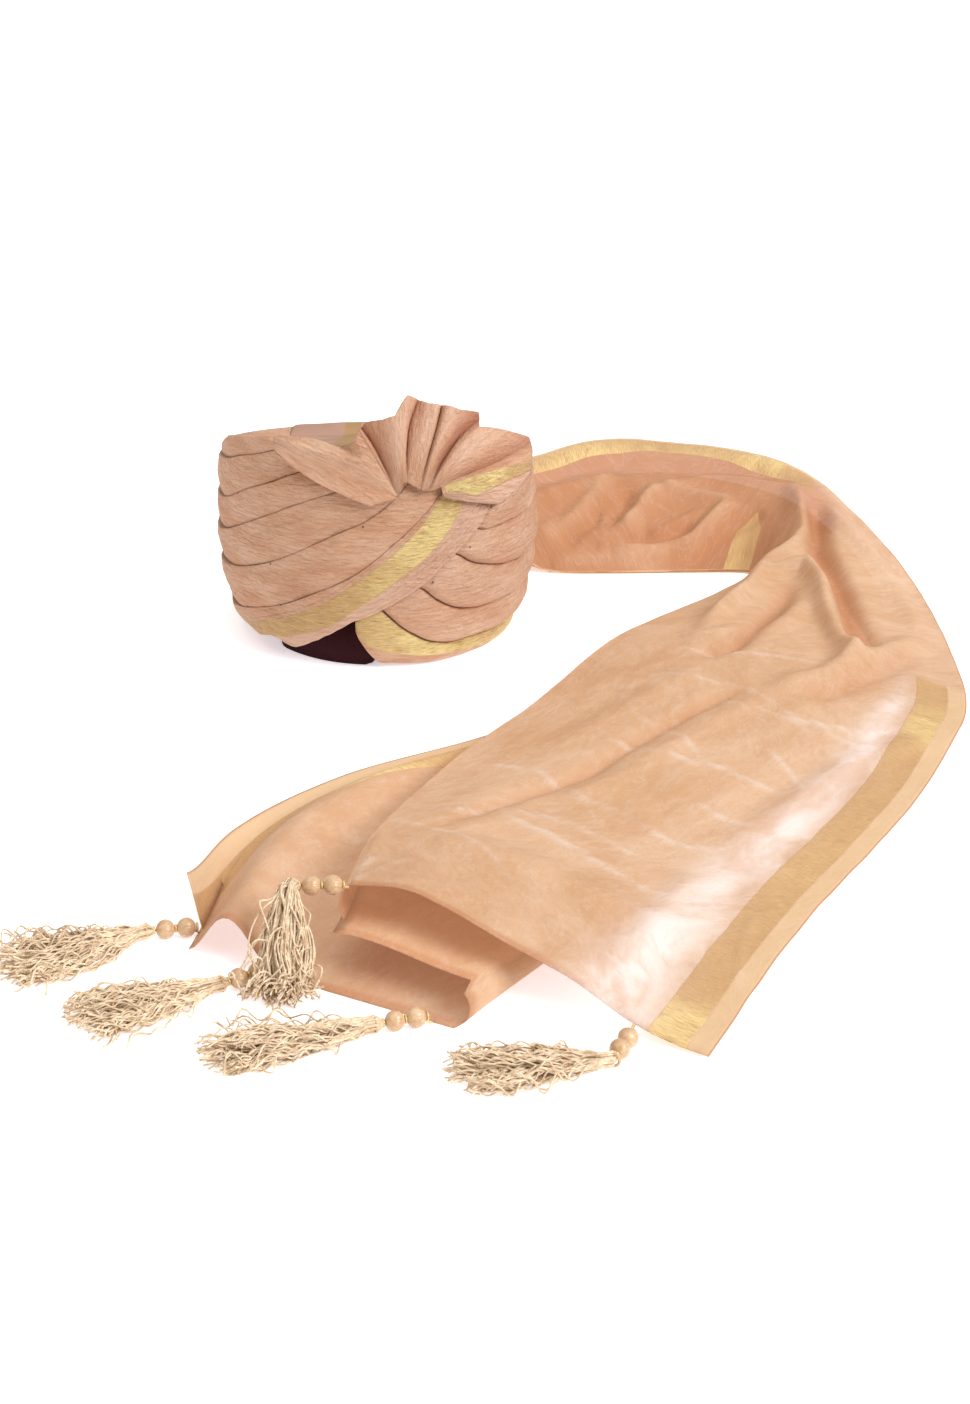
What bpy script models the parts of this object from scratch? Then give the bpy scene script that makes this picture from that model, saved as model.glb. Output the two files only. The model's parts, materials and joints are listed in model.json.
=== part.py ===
"""A ready-made wound turban of rose-gold cloth, with its long tasselled tail lying beside it.

Metres, +Z up. The origin is the middle of the head opening, at the level of the floor that the
turban rests on. -Y is the wearer's front, where the pleated fan stands. Angles round the ring
are degrees from +X: 90 is the back, 180 the left, 270 the front, and a wrap's angle runs on
past 360 or starts below 0, because every wrap goes more than once round.
"""
import bisect
import math

import bmesh
import bpy
import numpy as np
from mathutils import Vector

MM = 0.001

# Head opening and crown
HEAD_HALF_WIDTH = 82.5 * MM
HEAD_HALF_LENGTH = 99.5 * MM
CAP_CLOTH = 2.5 * MM
CROWN_BELOW_RIM = 12 * MM
CROWN_DOME = 8 * MM
CAP_ABOVE_FLOOR = 2 * MM

# Wound ring
SEAT_GAP = 0.7 * MM
CAP_GAP = 0.95 * MM
WRAP_GAP = 0.8 * MM
RING_LENGTH_TO_WIDTH = 1.06
RIM_HEIGHT = 157 * MM
RIM_TILT = 30 * MM
RIM_DROP_OUTSIDE = 6 * MM
RIM_DROP_INSIDE = 8 * MM
SMALLEST_WRAP = 3 * MM
MOST_PROUD = 3.0 * MM

# Half width of the ring (mm) at a height (mm)
RING_PROFILE = [(-10, 114), (0, 117), (20, 127), (45, 133.5), (75, 136.5), (105, 136.5),
                (135, 134.5), (160, 131), (190, 126), (215, 122)]

# Lowest edge of the cloth: angle, height (mm). Past 264 degrees it is the free edge of the
# outermost wrap, which climbs over the others to the knot.
HEM = [(-96, 47), (-94, 30), (-88, 7), (-82, 4), (-68, 2), (-46, 1), (-20, 0), (90, 0), (160, 0),
       (180, 2), (205, 9), (229, 16), (238, 15), (249, 23), (256, 36), (264, 47), (270, 53),
       (280, 66), (289, 80), (296, 93), (304, 108), (310, 119), (318, 139), (324, 154), (331, 172)]

# Line between each wrap and the next one up: angle, height (mm)
WRAP_LINES = [
    [(-96, 80), (-85, 54), (-79, 40), (-74, 31), (-69, 24), (-60, 18.5), (-50, 18.5), (-30, 15.5),
     (0, 14), (90, 18), (150, 20), (180, 23), (207, 30), (225, 43), (239, 55), (254, 73),
     (266, 89), (277, 110), (286, 128), (294, 146), (301, 162), (308, 178), (314, 190)],
    [(-90, 90), (-72, 73), (-66, 61), (-59, 51), (-52, 47), (-42, 45), (-25, 43), (0, 42),
     (90, 47), (150, 52), (180, 57), (204, 66), (220, 76), (234, 89), (249, 108), (261, 123),
     (269, 132), (277, 145), (285, 163), (292, 179), (297, 190)],
    [(-75, 112), (-58, 96), (-53, 88), (-45, 81), (-36, 75), (-18, 68), (0, 66), (90, 72),
     (150, 79), (180, 86), (204, 96), (224, 117), (240, 136), (251, 148), (261, 157), (270, 168),
     (279, 183), (284, 192)],
    [(-62, 125), (-49, 113), (-43, 111), (-35, 110), (-19, 107), (0, 103), (90, 95), (150, 105),
     (180, 113), (206, 125), (223, 144), (235, 156), (242, 164), (253, 174), (262, 184),
     (268, 192)],
    [(-50, 150), (-30, 150), (-10, 145), (0, 142), (90, 113), (150, 130), (180, 143), (204, 156),
     (217, 167), (228, 175), (239, 185), (246, 194)],
]

# Angles that all wraps take their sections at, so that neighbours share each bend
WRAP_ANGLES = [*range(-95, -25, 5), *range(-25, 195, 11), *range(195, 335, 5)]

# Pleated fan: a polar outline about the knot, seen from the front and a little above
KNOT_X = 24 * MM
KNOT_HEIGHT = 152 * MM
FAN_CLOTH = 2.2 * MM
FAN_GAP = 0.9 * MM
FAN_LEAN = 0.345
FAN_RINGS = (0.1, 0.35, 0.6, 0.8, 1.0)
# Direction (degrees), reach (mm) and how far the pleat stands forward (mm)
FAN_PLEATS = [
    (-4, 79, 5), (4, 95, 8), (12, 106, 6), (20, 109, 1), (27, 113, 8), (35, 100, 10),
    (41, 88, 6), (45, 91, 0), (49, 96, 8), (56, 87, 9), (62, 84, 5), (66, 82, 0), (72, 82, 7),
    (78, 83, 1), (84, 84, 8), (90, 73, 8), (99, 66, 7), (109, 65, 7), (116, 58, 0), (123, 54, 6),
    (133, 58, 9), (142, 80, 8), (152, 108, 4), (160, 92, 5), (168, 61, 6), (180, 36, 4),
    (193, 23, 1)]

# Tail: one row for each section from the turban to the tasselled hem, in mm. inner and outer
# are the ends of the section on the floor. The cloth lies in three layers: it runs from inner
# to turn_out, back to turn_in, and from there on top to outer; turns and crest_at are shares
# of the section. tunnel is the arch that the bottom layer makes at its inner end.
TAIL_COLUMNS = ("inner_x", "inner_y", "outer_x", "outer_y", "turn_out", "turn_in", "fold_height",
                "crest_at", "crest", "outer_height", "lift", "tunnel", "overhang")
TAIL_SECTIONS = [
    (94.5, 114, 36.5, 146, 0.85, 0.06, 20, 0.55, 34, 26, 26, 0, 0),
    (140, 88, 92, 222, 0.88, 0.03, 5, 0.62, 42, 46, 4, 0, 0),
    (205, 86, 196, 288, 0.90, 0.02, 2, 0.60, 46, 57, 0, 0, 0),
    (270, 88, 285, 300, 0.90, 0.02, 2, 0.56, 47, 51, 0, 0, 0),
    (325, 86, 374, 243, 0.85, 0.04, 6, 0.60, 48, 52, 0, 0, 0),
    (336, 62, 428, 135, 0.80, 0.10, 22, 0.50, 48, 37, 0, 0, 0),
    (322, 28, 466, 12, 0.75, 0.12, 28, 0.42, 46, 12, 0, 0, 0),
    (276, -15, 474, -120, 0.70, 0.08, 22, 0.36, 36, 4, 0, 0, 0),
    (228, -62, 470, -200, 0.66, 0.03, 15, 0.32, 27, 2, 0, 0, 0),
    (186, -112, 448, -268, 0.62, 0.02, 13, 0.30, 21, 2, 0, 0, 0),
    (115, -237, 394, -390, 0.60, 0.04, 13, 0.30, 21, 2, 0, 0, 0),
    (-15, -329, 322, -514, 0.60, 0.22, 17, 0.38, 26, 2, 0, 12, 0),
    (-81, -425, 272, -612, 0.67, 0.29, 29, 0.42, 37, 2, 0, 22, 8),
    (-95, -547, 222, -722, 0.585, 0.31, 50, 0.45, 57, 2, 0, 30, 36)]
TAIL_CLOTH = 1.6 * MM
TAIL_ROWS = 28
TAIL_FLOOR_GAP = 0.15 * MM
LAYER_COLUMNS = {"tunnel": 4, "bottom": 2, "turn_out": 2, "middle": 4, "turn_in": 2, "top": 9}
LAYER_OVERHANG = {"flap": 0.35, "bottom": 1.0, "turn_out": 0.8, "middle": 0.4, "turn_in": -0.15,
                  "top": -0.2}
TUNNEL_INNER_END = 0.03
# The inner corner of the hem stands up in a flap that fades with the tunnel beside it
FLAP_HEIGHT = 39
FLAP_TUNNEL = 30

# Tassels: one row each, along the hem from its inner corner. share is the place across the
# section on the named layer; headings are degrees, and length and spread (mm) are in plan; drop
# is how far (mm) the skirt falls.
BEAD_RADIUS = 6.5 * MM
BEAD_BORE = 1.5 * MM
CORD_RADIUS = 1.0 * MM
FIRST_BEAD_FROM_HEM = 10 * MM
BEAD_SPACING = 13.6 * MM
HEAD_RADIUS = 5.5 * MM
HEAD_LENGTH = 11 * MM
TASSEL_COLUMNS = ("layer", "share", "cord_heading", "skirt_heading", "length", "spread", "drop")
TASSELS = [
    ("flap", 0.03, 190, 209, 96, 17, 0),
    ("bottom", 0.222, 213, 205, 92, 15, 0),
    ("bottom", 0.545, 197, 200, 102, 14, 0),
    ("top", 0.31, 182, 267, 52, 11, 48),
    ("top", 0.864, 246, 186, 92, 13, 0)]
LOCKS = 7
LOCK_RADIUS = 4.7 * MM
LOCK_TAPER = (0.7, 0.95, 1.0, 0.9, 0.45)

CLOTH = ("rose_cloth", (0.69, 0.36, 0.22), 0.62, 0.0)
CROWN_CLOTH = ("crown_cloth", (0.62, 0.34, 0.24), 0.7, 0.0)
BORDER_CLOTH = ("bordered_cloth", (0.72, 0.47, 0.2), 0.5, 0.25)
TAIL_FABRIC = ("tail_cloth", (0.78, 0.48, 0.27), 0.6, 0.0)
BEAD_THREAD = ("bead_thread", (0.65, 0.42, 0.2), 0.4, 0.2)
TASSEL_YARN = ("tassel_yarn", (0.7, 0.5, 0.33), 0.75, 0.0)


def clear_scene():
    """Remove every object of the open scene."""
    for thing in list(bpy.data.objects):
        bpy.data.objects.remove(thing, do_unlink=True)


def material(finish):
    """The named plain material, made once."""
    name, colour, roughness, metallic = finish
    found = bpy.data.materials.get(name)
    if found:
        return found
    made = bpy.data.materials.new(name)
    made.use_nodes = True
    shader = made.node_tree.nodes["Principled BSDF"]
    shader.inputs["Base Color"].default_value = (*colour, 1)
    shader.inputs["Roughness"].default_value = roughness
    shader.inputs["Metallic"].default_value = metallic
    return made


def smooth(table, at):
    """The value at one place of the smooth curve through a table of (place, value) rows."""
    places = [row[0] for row in table]
    at = min(max(at, places[0]), places[-1])
    low = min(bisect.bisect_right(places, at), len(table) - 1) - 1

    def slope(i):
        before, after = table[max(i - 1, 0)], table[min(i + 1, len(table) - 1)]
        return (after[1] - before[1]) / (after[0] - before[0])

    span = places[low + 1] - places[low]
    t = (at - places[low]) / span
    start, end = table[low][1], table[low + 1][1]
    return (start * (2 * t ** 3 - 3 * t ** 2 + 1) + end * (3 * t ** 2 - 2 * t ** 3)
            + span * (slope(low) * (t ** 3 - 2 * t ** 2 + t) + slope(low + 1) * (t ** 3 - t ** 2)))


def ramp(low, high, at):
    """0 below low, 1 above high, and an even S between them."""
    t = min(max((at - low) / (high - low), 0), 1)
    return t * t * (3 - 2 * t)


def finish_object(name, mesh, finish, parent_collection):
    """Give a mesh its object, material, smooth shading and collection."""
    made = bpy.data.objects.new(name, mesh)
    mesh.materials.append(material(finish))
    mesh.shade_smooth()
    mesh.set_sharp_from_angle(angle=math.radians(50))
    parent_collection.objects.link(made)
    return made


def lofted_mesh(name, rows, columns, place, closed=False, top_columns=()):
    """A grid whose points go where place(row, column) says.

    A closed loft meets itself along its last column and has its two ends filled. Its twisted
    quads are split so that top_columns match the underside of the body above.
    """
    shape = bmesh.new()
    bmesh.ops.create_grid(shape, x_segments=columns, y_segments=rows, size=0.5)
    spots = {vert: (round((vert.co.y + 0.5) * rows), round((vert.co.x + 0.5) * columns))
             for vert in shape.verts}
    for face in list(shape.faces) if closed else []:
        row = min(spots[vert][0] for vert in face.verts)
        column = min(spots[vert][1] for vert in face.verts)
        ends = {(row, column), (row + 1, column + 1)}
        if column not in top_columns:
            ends = {(row, column + 1), (row + 1, column)}
        bmesh.utils.face_split(face, *[vert for vert in face.verts if spots[vert] in ends])
    for vert, (row, column) in spots.items():
        vert.co = place(row, column % columns if closed else column)
    bmesh.ops.remove_doubles(shape, verts=shape.verts, dist=1e-6)
    if closed:
        rims = [edge for edge in shape.edges if edge.is_boundary]
        bmesh.ops.holes_fill(shape, edges=rims, sides=0)
    bmesh.ops.recalc_face_normals(shape, faces=shape.faces)
    mesh = bpy.data.meshes.new(name)
    shape.to_mesh(mesh)
    shape.free()
    return mesh


def rim_height(angle):
    """Top of the wound ring: high at the front and low at the back."""
    return RIM_HEIGHT - RIM_TILT * math.sin(math.radians(angle))


def outer_radius(height):
    """Half width of the wound ring at a height."""
    return smooth(RING_PROFILE, height / MM) * MM


def ring_point(angle, height, depth, proud=0.0):
    """A point of the wound ring: depth 0 is its inner wall and depth 1 its outer face."""
    turn = math.radians(angle)
    radius = outer_radius(height) + proud
    inner_x = HEAD_HALF_WIDTH + CAP_CLOTH + CAP_GAP
    inner_y = HEAD_HALF_LENGTH + CAP_CLOTH + CAP_GAP
    across = inner_x + (radius - inner_x) * depth
    along = inner_y + (radius * RING_LENGTH_TO_WIDTH - inner_y) * depth
    return Vector((across * math.cos(turn), along * math.sin(turn), height))


def proud_of_ring(angle, share, tall, lowest):
    """How far a wrap's outer face stands out, at a share of its height.

    On the left each wrap's top edge lies over the one above; on the right its bottom edge
    lies over the one below and the wrap is fuller.
    """
    left = ramp(80, 170, angle)
    top = 2.2 * left - 0.4 * (1 - left)
    bottom = -0.6 * left + 2.0 * (1 - left)
    if lowest:
        bottom += 3.0 * ramp(225, 262, angle)
    belly = 1.4 * left + 3.2 * (1 - left)
    under_free_edge = 1.0 - 0.9 * (1 - ramp(-90, -40, angle))
    stands = top * share + bottom * (1 - share) + belly * 4 * share * (1 - share)
    return min(stands * under_free_edge * ramp(0, 0.02, tall), MOST_PROUD / MM) * MM


def wrap_span(level, angle):
    """Lowest and highest height of one wrap at an angle."""
    low = max(smooth(HEM, angle), 0) * MM
    if level > 0:
        low = smooth(WRAP_LINES[level - 1], angle) * MM + WRAP_GAP / 2
    elif angle > 264:
        low += WRAP_GAP / 2
    high = rim_height(angle) + WRAP_GAP
    if level < len(WRAP_LINES):
        high = min(high, smooth(WRAP_LINES[level], angle) * MM - WRAP_GAP / 2)
    if angle < -20:
        high = min(high, smooth(HEM, angle + 360) * MM - WRAP_GAP / 2)
    return low, high


def wrap_angles(level):
    """The shared angles at which one wrap has a section."""
    def stands(angle):
        low, high = wrap_span(level, angle)
        return min(high, rim_height(angle) - RIM_DROP_OUTSIDE) - low >= SMALLEST_WRAP

    start = next(i for i, angle in enumerate(WRAP_ANGLES) if stands(angle))
    end = next(i for i in reversed(range(len(WRAP_ANGLES))) if stands(WRAP_ANGLES[i]))
    return WRAP_ANGLES[start:end + 1]


def wrap(level, parts):
    """One turn of the winding, from under the outermost wrap round to the knot."""
    angles = wrap_angles(level)
    corners = [(0, 0), (0.5, 0), (1, 0), (1, 0.55), (1, 1), (0.5, 1), (0, 1)]
    name = f"wrap_{level + 1}"

    def place(row, column):
        angle = angles[row]
        depth, share = corners[column]
        low, high = wrap_span(level, angle)
        drop = {0: RIM_DROP_INSIDE, 0.5: 0, 1: RIM_DROP_OUTSIDE}[depth]
        top = min(high, rim_height(angle) - drop)
        proud = proud_of_ring(angle, share, top - low, level == 0)
        return ring_point(angle, low + (top - low) * share, depth, proud)

    mesh = lofted_mesh(name, len(angles) - 1, len(corners), place, closed=True,
                       top_columns=(4, 5))
    return finish_object(name, mesh, BORDER_CLOTH if level == 0 else CLOTH, parts)


def crown_cap(parts):
    """The cloth cap inside the ring, open below for the head."""
    turns = 28
    wall_steps = (0.0, 0.5, 1.0)
    crown_steps = (0.96, 0.7, 0.35, 0.0)

    def place(row, column):
        angle = 360 * row / turns
        turn = math.radians(angle)
        edge = RIM_HEIGHT - RIM_TILT * math.sin(turn) - CROWN_BELOW_RIM - 6 * MM
        if column < len(wall_steps):
            out = 1.0
            height = CAP_ABOVE_FLOOR + (edge - CAP_ABOVE_FLOOR) * wall_steps[column]
        else:
            out = crown_steps[column - len(wall_steps)]
            height = (RIM_HEIGHT - RIM_TILT * math.sin(turn) * out - CROWN_BELOW_RIM
                      + CROWN_DOME * (1 - out ** 2))
        return Vector(((HEAD_HALF_WIDTH + CAP_CLOTH) * out * math.cos(turn),
                       (HEAD_HALF_LENGTH + CAP_CLOTH) * out * math.sin(turn), height))

    mesh = lofted_mesh("crown_cap", turns, len(wall_steps) + len(crown_steps) - 1, place)
    cap = finish_object("crown_cap", mesh, CROWN_CLOTH, parts)
    outside = mesh.polygons[0].normal.dot(mesh.polygons[0].center * Vector((1, 1, 0))) > 0
    wall = cap.modifiers.new("cloth", "SOLIDIFY")
    wall.thickness = CAP_CLOTH
    wall.offset = -1 if outside else 1
    return cap


def fan_point(direction, reach, forward, ring):
    """A point of the fan's front face, wrapped round the front of the ring."""
    turn = math.radians(direction)
    x = KNOT_X + ring * reach * math.cos(turn)
    rise = ring * reach * math.sin(turn)

    def depth_at(height):
        radius = outer_radius(height) + MOST_PROUD + FAN_GAP + FAN_CLOTH
        return -RING_LENGTH_TO_WIDTH * math.sqrt(max(radius ** 2 - x ** 2, (30 * MM) ** 2))

    at_knot = -RING_LENGTH_TO_WIDTH * outer_radius(KNOT_HEIGHT)
    height = KNOT_HEIGHT + rise
    for _ in range(3):
        height = KNOT_HEIGHT + rise - FAN_LEAN * (depth_at(height) - at_knot)
    return Vector((x, depth_at(height) - forward * ring ** 2, height))


def pleated_fan(parts):
    """The fan of pleats that rises from the knot over the front of the rim."""
    def place(row, column):
        direction, reach, forward = FAN_PLEATS[row]
        return fan_point(direction, reach * MM, forward * MM, FAN_RINGS[column])

    mesh = lofted_mesh("pleated_fan", len(FAN_PLEATS) - 1, len(FAN_RINGS) - 1, place)
    fan = finish_object("pleated_fan", mesh, CLOTH, parts)
    faces_front = mesh.polygons[0].normal.y < 0
    wall = fan.modifiers.new("cloth", "SOLIDIFY")
    wall.thickness = FAN_CLOTH
    wall.offset = -1 if faces_front else 1
    return fan


def tail_section(along):
    """The tail's section values at a share of its length, by column name."""
    last = len(TAIL_SECTIONS) - 1
    values = {}
    for number, column in enumerate(TAIL_COLUMNS):
        table = [(i / last, row[number]) for i, row in enumerate(TAIL_SECTIONS)]
        values[column] = smooth(table, along)
    for column in ("lift", "tunnel", "overhang"):
        values[column] = max(values[column], 0)
    return values


def tail_top(section, share):
    """Height (mm) of the tail's top layer at a share of the section."""
    turn_in, crest_at = section["turn_in"], section["crest_at"]
    if share < crest_at:
        t = (share - turn_in) / (crest_at - turn_in)
        return section["fold_height"] + (section["crest"] - section["fold_height"]) * ramp(-0.6, 1, t)
    t = (share - crest_at) / (1 - crest_at)
    return section["crest"] + (section["outer_height"] - section["crest"]) * ramp(0, 1, t)


def tail_layers(section):
    """The points across one section: layer, share of the section and height (mm)."""
    floor = (TAIL_FLOOR_GAP + TAIL_CLOTH / 2) / MM
    turn_out, turn_in = section["turn_out"], section["turn_in"]
    tunnel_end = max(turn_in * 0.76, TUNNEL_INNER_END + 0.02)

    def middle(share):
        return max(tail_top(section, share) * 0.52, floor + 3.4)

    flap_height = FLAP_HEIGHT * (section["tunnel"] / FLAP_TUNNEL) ** 5
    rows = [("flap", 0, floor + flap_height), ("flap", TUNNEL_INNER_END, floor)]
    for i in range(1, LAYER_COLUMNS["tunnel"] + 1):
        inside = i / LAYER_COLUMNS["tunnel"]
        share = TUNNEL_INNER_END + (tunnel_end - TUNNEL_INNER_END) * inside
        rows.append(("bottom", share, floor + section["tunnel"] * math.sin(math.pi * inside) ** 2))
    for i in range(LAYER_COLUMNS["bottom"]):
        share = tunnel_end + (turn_out - tunnel_end) * (i + 1) / LAYER_COLUMNS["bottom"]
        rows.append(("bottom", share, floor))
    for i in range(LAYER_COLUMNS["turn_out"]):
        swing = math.pi * (i + 1) / (LAYER_COLUMNS["turn_out"] + 1)
        height = floor + (middle(turn_out) - floor) * (1 - math.cos(swing)) / 2
        rows.append(("turn_out", turn_out + 0.02 * math.sin(swing), height))
    for i in range(LAYER_COLUMNS["middle"] + 1):
        share = turn_out + (turn_in - turn_out) * i / LAYER_COLUMNS["middle"]
        rows.append(("middle", share, middle(share)))
    for i in range(LAYER_COLUMNS["turn_in"]):
        swing = math.pi * (i + 1) / (LAYER_COLUMNS["turn_in"] + 1)
        low, high = middle(turn_in), tail_top(section, turn_in)
        height = low + (high - low) * (1 - math.cos(swing)) / 2
        rows.append(("turn_in", turn_in - 0.02 * math.sin(swing), height))
    for i in range(LAYER_COLUMNS["top"] + 1):
        share = turn_in + (1 - turn_in) * i / LAYER_COLUMNS["top"]
        rows.append(("top", share, max(tail_top(section, share), floor)))
    return rows


def cloth_height(section, layer, share):
    """Height (mm) of one layer's cloth at a share of the section."""
    points = [row for row in tail_layers(section) if row[0] == layer]
    return float(np.interp(share, [row[1] for row in points], [row[2] for row in points]))


def tail_direction(section):
    """The way the tail runs at a section, square to it and away from the turban."""
    across = Vector((section["outer_x"] - section["inner_x"],
                     section["outer_y"] - section["inner_y"], 0)).normalized()
    return Vector((across.y, -across.x, 0))


def tail_place(section, layer, share, height):
    """A point of the tail's cloth in metres."""
    inner = Vector((section["inner_x"], section["inner_y"], 0))
    outer = Vector((section["outer_x"], section["outer_y"], 0))
    spot = inner.lerp(outer, share)
    spot += tail_direction(section) * section["overhang"] * LAYER_OVERHANG[layer]
    spot.z = height + section["lift"]
    return spot * MM


def tail(parts):
    """The long loose end of the cloth, folded in three, from the turban's back to its hem."""
    sections = [tail_section(i / TAIL_ROWS) for i in range(TAIL_ROWS + 1)]
    folded = [tail_layers(section) for section in sections]

    def place(row, column):
        return tail_place(sections[row], *folded[row][column])

    mesh = lofted_mesh("tail", TAIL_ROWS, len(folded[0]) - 1, place)
    made = finish_object("tail", mesh, TAIL_FABRIC, parts)
    wall = made.modifiers.new("cloth", "SOLIDIFY")
    wall.thickness = TAIL_CLOTH
    wall.offset = 0
    return made


def heading(degrees):
    """The unit vector of a heading in plan."""
    return Vector((math.cos(math.radians(degrees)), math.sin(math.radians(degrees)), 0))


def tassel_line(row):
    """Where a tassel's parts lie: hem point, two beads, head and the skirt's end."""
    hem = tail_section(1.0)
    start = tail_place(hem, row["layer"], row["share"], cloth_height(hem, row["layer"], row["share"]))
    out = heading(row["cord_heading"])
    off_hem = tail_direction(hem)
    level = BEAD_RADIUS + 0.1 * MM
    raised = row["drop"] > 0
    bead_height = start.z + 2 * MM if raised else level
    start += off_hem * (CORD_RADIUS * out.cross(off_hem).length + SEAT_GAP)
    spots = {"hem": start.copy()}
    for number, bead in enumerate(("upper_bead", "lower_bead")):
        spots[bead] = start + out * (FIRST_BEAD_FROM_HEM + number * BEAD_SPACING)
        spots[bead].z = bead_height
    spots["hem"].z = max(start.z, CORD_RADIUS * 1.3)
    spots["mouth"] = spots["upper_bead"] - out * (BEAD_RADIUS + 0.6 * MM)
    spots["head"] = spots["lower_bead"] + out * (BEAD_RADIUS + 1.2 * MM)
    return spots


def cord(name, spots, parts):
    """The thread that runs from the hem through both beads into the skirt's head."""
    line = bpy.data.curves.new(name, "CURVE")
    line.dimensions = "3D"
    line.bevel_depth = CORD_RADIUS
    line.bevel_resolution = 1
    line.use_fill_caps = True
    path = [spots["hem"], spots["mouth"], spots["upper_bead"], spots["lower_bead"], spots["head"]]
    spline = line.splines.new("POLY")
    spline.points.add(len(path) - 1)
    for point, spot in zip(spline.points, path):
        point.co = (*spot, 1)
    made = bpy.data.objects.new(name, line)
    line.materials.append(material(BEAD_THREAD))
    parts.objects.link(made)
    return made


def bead(name, centre, out, parts):
    """A round bead wound with thread, drilled for the cord."""
    flank = math.asin(BEAD_BORE / BEAD_RADIUS)
    steps = 5
    shape = bmesh.new()
    profile = []
    for i in range(steps + 1):
        swing = flank + (math.pi - 2 * flank) * i / steps
        profile.append(shape.verts.new((BEAD_RADIUS * math.sin(swing), 0,
                                        BEAD_RADIUS * math.cos(swing))))
    ring = [shape.edges.new((profile[i], profile[(i + 1) % len(profile)]))
            for i in range(len(profile))]
    bmesh.ops.spin(shape, geom=profile + ring, cent=(0, 0, 0), axis=(0, 0, 1),
                   angle=math.tau, steps=10, use_merge=True)
    bmesh.ops.remove_doubles(shape, verts=shape.verts, dist=1e-6)
    bmesh.ops.recalc_face_normals(shape, faces=shape.faces)
    mesh = bpy.data.meshes.new(name)
    shape.to_mesh(mesh)
    shape.free()
    made = finish_object(name, mesh, BEAD_THREAD, parts)
    made.rotation_euler = out.to_track_quat("Z", "X").to_euler()
    made.location = centre
    return made


def lock_points(row, start, number):
    """The middle line of one lock of the skirt, from its head to its tip."""
    out = heading(row["skirt_heading"])
    side = Vector((-out.y, out.x, 0))
    fanned = (number / (LOCKS - 1) - 0.5) * 2
    upper = number % 2
    reach = row["length"] * MM * (1 - 0.12 * fanned ** 2 - 0.06 * upper)
    low = LOCK_RADIUS + 0.15 * MM
    points = []
    for step in range(len(LOCK_TAPER)):
        t = step / (len(LOCK_TAPER) - 1)
        wave = math.sin(t * 7 + number * 2.1) * 2.2 * MM * t
        spot = start + out * (reach * t) + side * (fanned * row["spread"] * MM * t ** 0.7 + wave)
        rest = low + upper * LOCK_RADIUS * 0.9 * (1 - 0.3 * t)
        if row["drop"] > 0:
            rest = max(rest, start.z - row["drop"] * MM * ramp(0, 0.75, t) + upper * 2 * MM)
        else:
            rest = start.z + (rest - start.z) * ramp(0, 0.35, t)
        points.append(Vector((spot.x, spot.y, rest)))
    return points


def tube_mesh(name, points, radii, sides=5):
    """A closed tube of changing radius along a few points."""
    def place(row, column):
        before, after = points[max(row - 1, 0)], points[min(row + 1, len(points) - 1)]
        along = (after - before).normalized()
        side = along.cross(Vector((0, 0, 1))).normalized()
        up = side.cross(along)
        turn = math.tau * (column + 0.5) / sides - math.pi / 2
        return points[row] + (side * math.cos(turn) + up * math.sin(turn)) * radii[row]

    return lofted_mesh(name, len(points) - 1, sides, place, closed=True)


def skirt(name, row, spots, parts, cutters):
    """The tassel's skirt: a wound head and the locks of yarn fused to it."""
    out = heading(row["cord_heading"])
    lean = heading(row["skirt_heading"])
    start = spots["head"] + out * (0.3 * MM)
    turn_off = start + (out * 0.45 + lean * 0.55) * HEAD_LENGTH
    collar = start + out * (2.5 * MM)
    head_line = [start, collar, collar.lerp(turn_off, 0.6), turn_off + lean * 4 * MM]
    head_radii = [3.0 * MM, HEAD_RADIUS, HEAD_RADIUS, HEAD_RADIUS * 0.8]
    body = finish_object(name, tube_mesh(name, head_line, head_radii, sides=8),
                         TASSEL_YARN, parts)
    for number in range(LOCKS):
        points = lock_points(row, turn_off, number)
        radii = [LOCK_RADIUS * share for share in LOCK_TAPER]
        lock = finish_object(f"{name}_lock_{number + 1}",
                             tube_mesh(name, points, radii), TASSEL_YARN, cutters)
        lock.hide_render = True
        lock.display_type = "WIRE"
        join = body.modifiers.new(f"lock_{number + 1}", "BOOLEAN")
        join.operation = "UNION"
        join.solver = "EXACT"
        join.object = lock
    return body


def tassel(number, row, parts, cutters):
    """One tassel with its cord, two beads and skirt."""
    name = f"tassel_{number}"
    spots = tassel_line(row)
    out = heading(row["cord_heading"])
    cord(f"{name}_cord", spots, parts)
    bead(f"{name}_upper_bead", spots["upper_bead"], out, parts)
    bead(f"{name}_lower_bead", spots["lower_bead"], out, parts)
    skirt(f"{name}_skirt", row, spots, parts, cutters)


def build():
    """Make the whole turban."""
    clear_scene()
    parts = bpy.data.collections.new("turban")
    cutters = bpy.data.collections.new("locks_to_join")
    for collection in (parts, cutters):
        bpy.context.scene.collection.children.link(collection)
    crown_cap(parts)
    for level in range(len(WRAP_LINES) + 1):
        wrap(level, parts)
    pleated_fan(parts)
    tail(parts)
    for number, values in enumerate(TASSELS, start=1):
        tassel(number, dict(zip(TASSEL_COLUMNS, values)), parts, cutters)


build()
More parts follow.
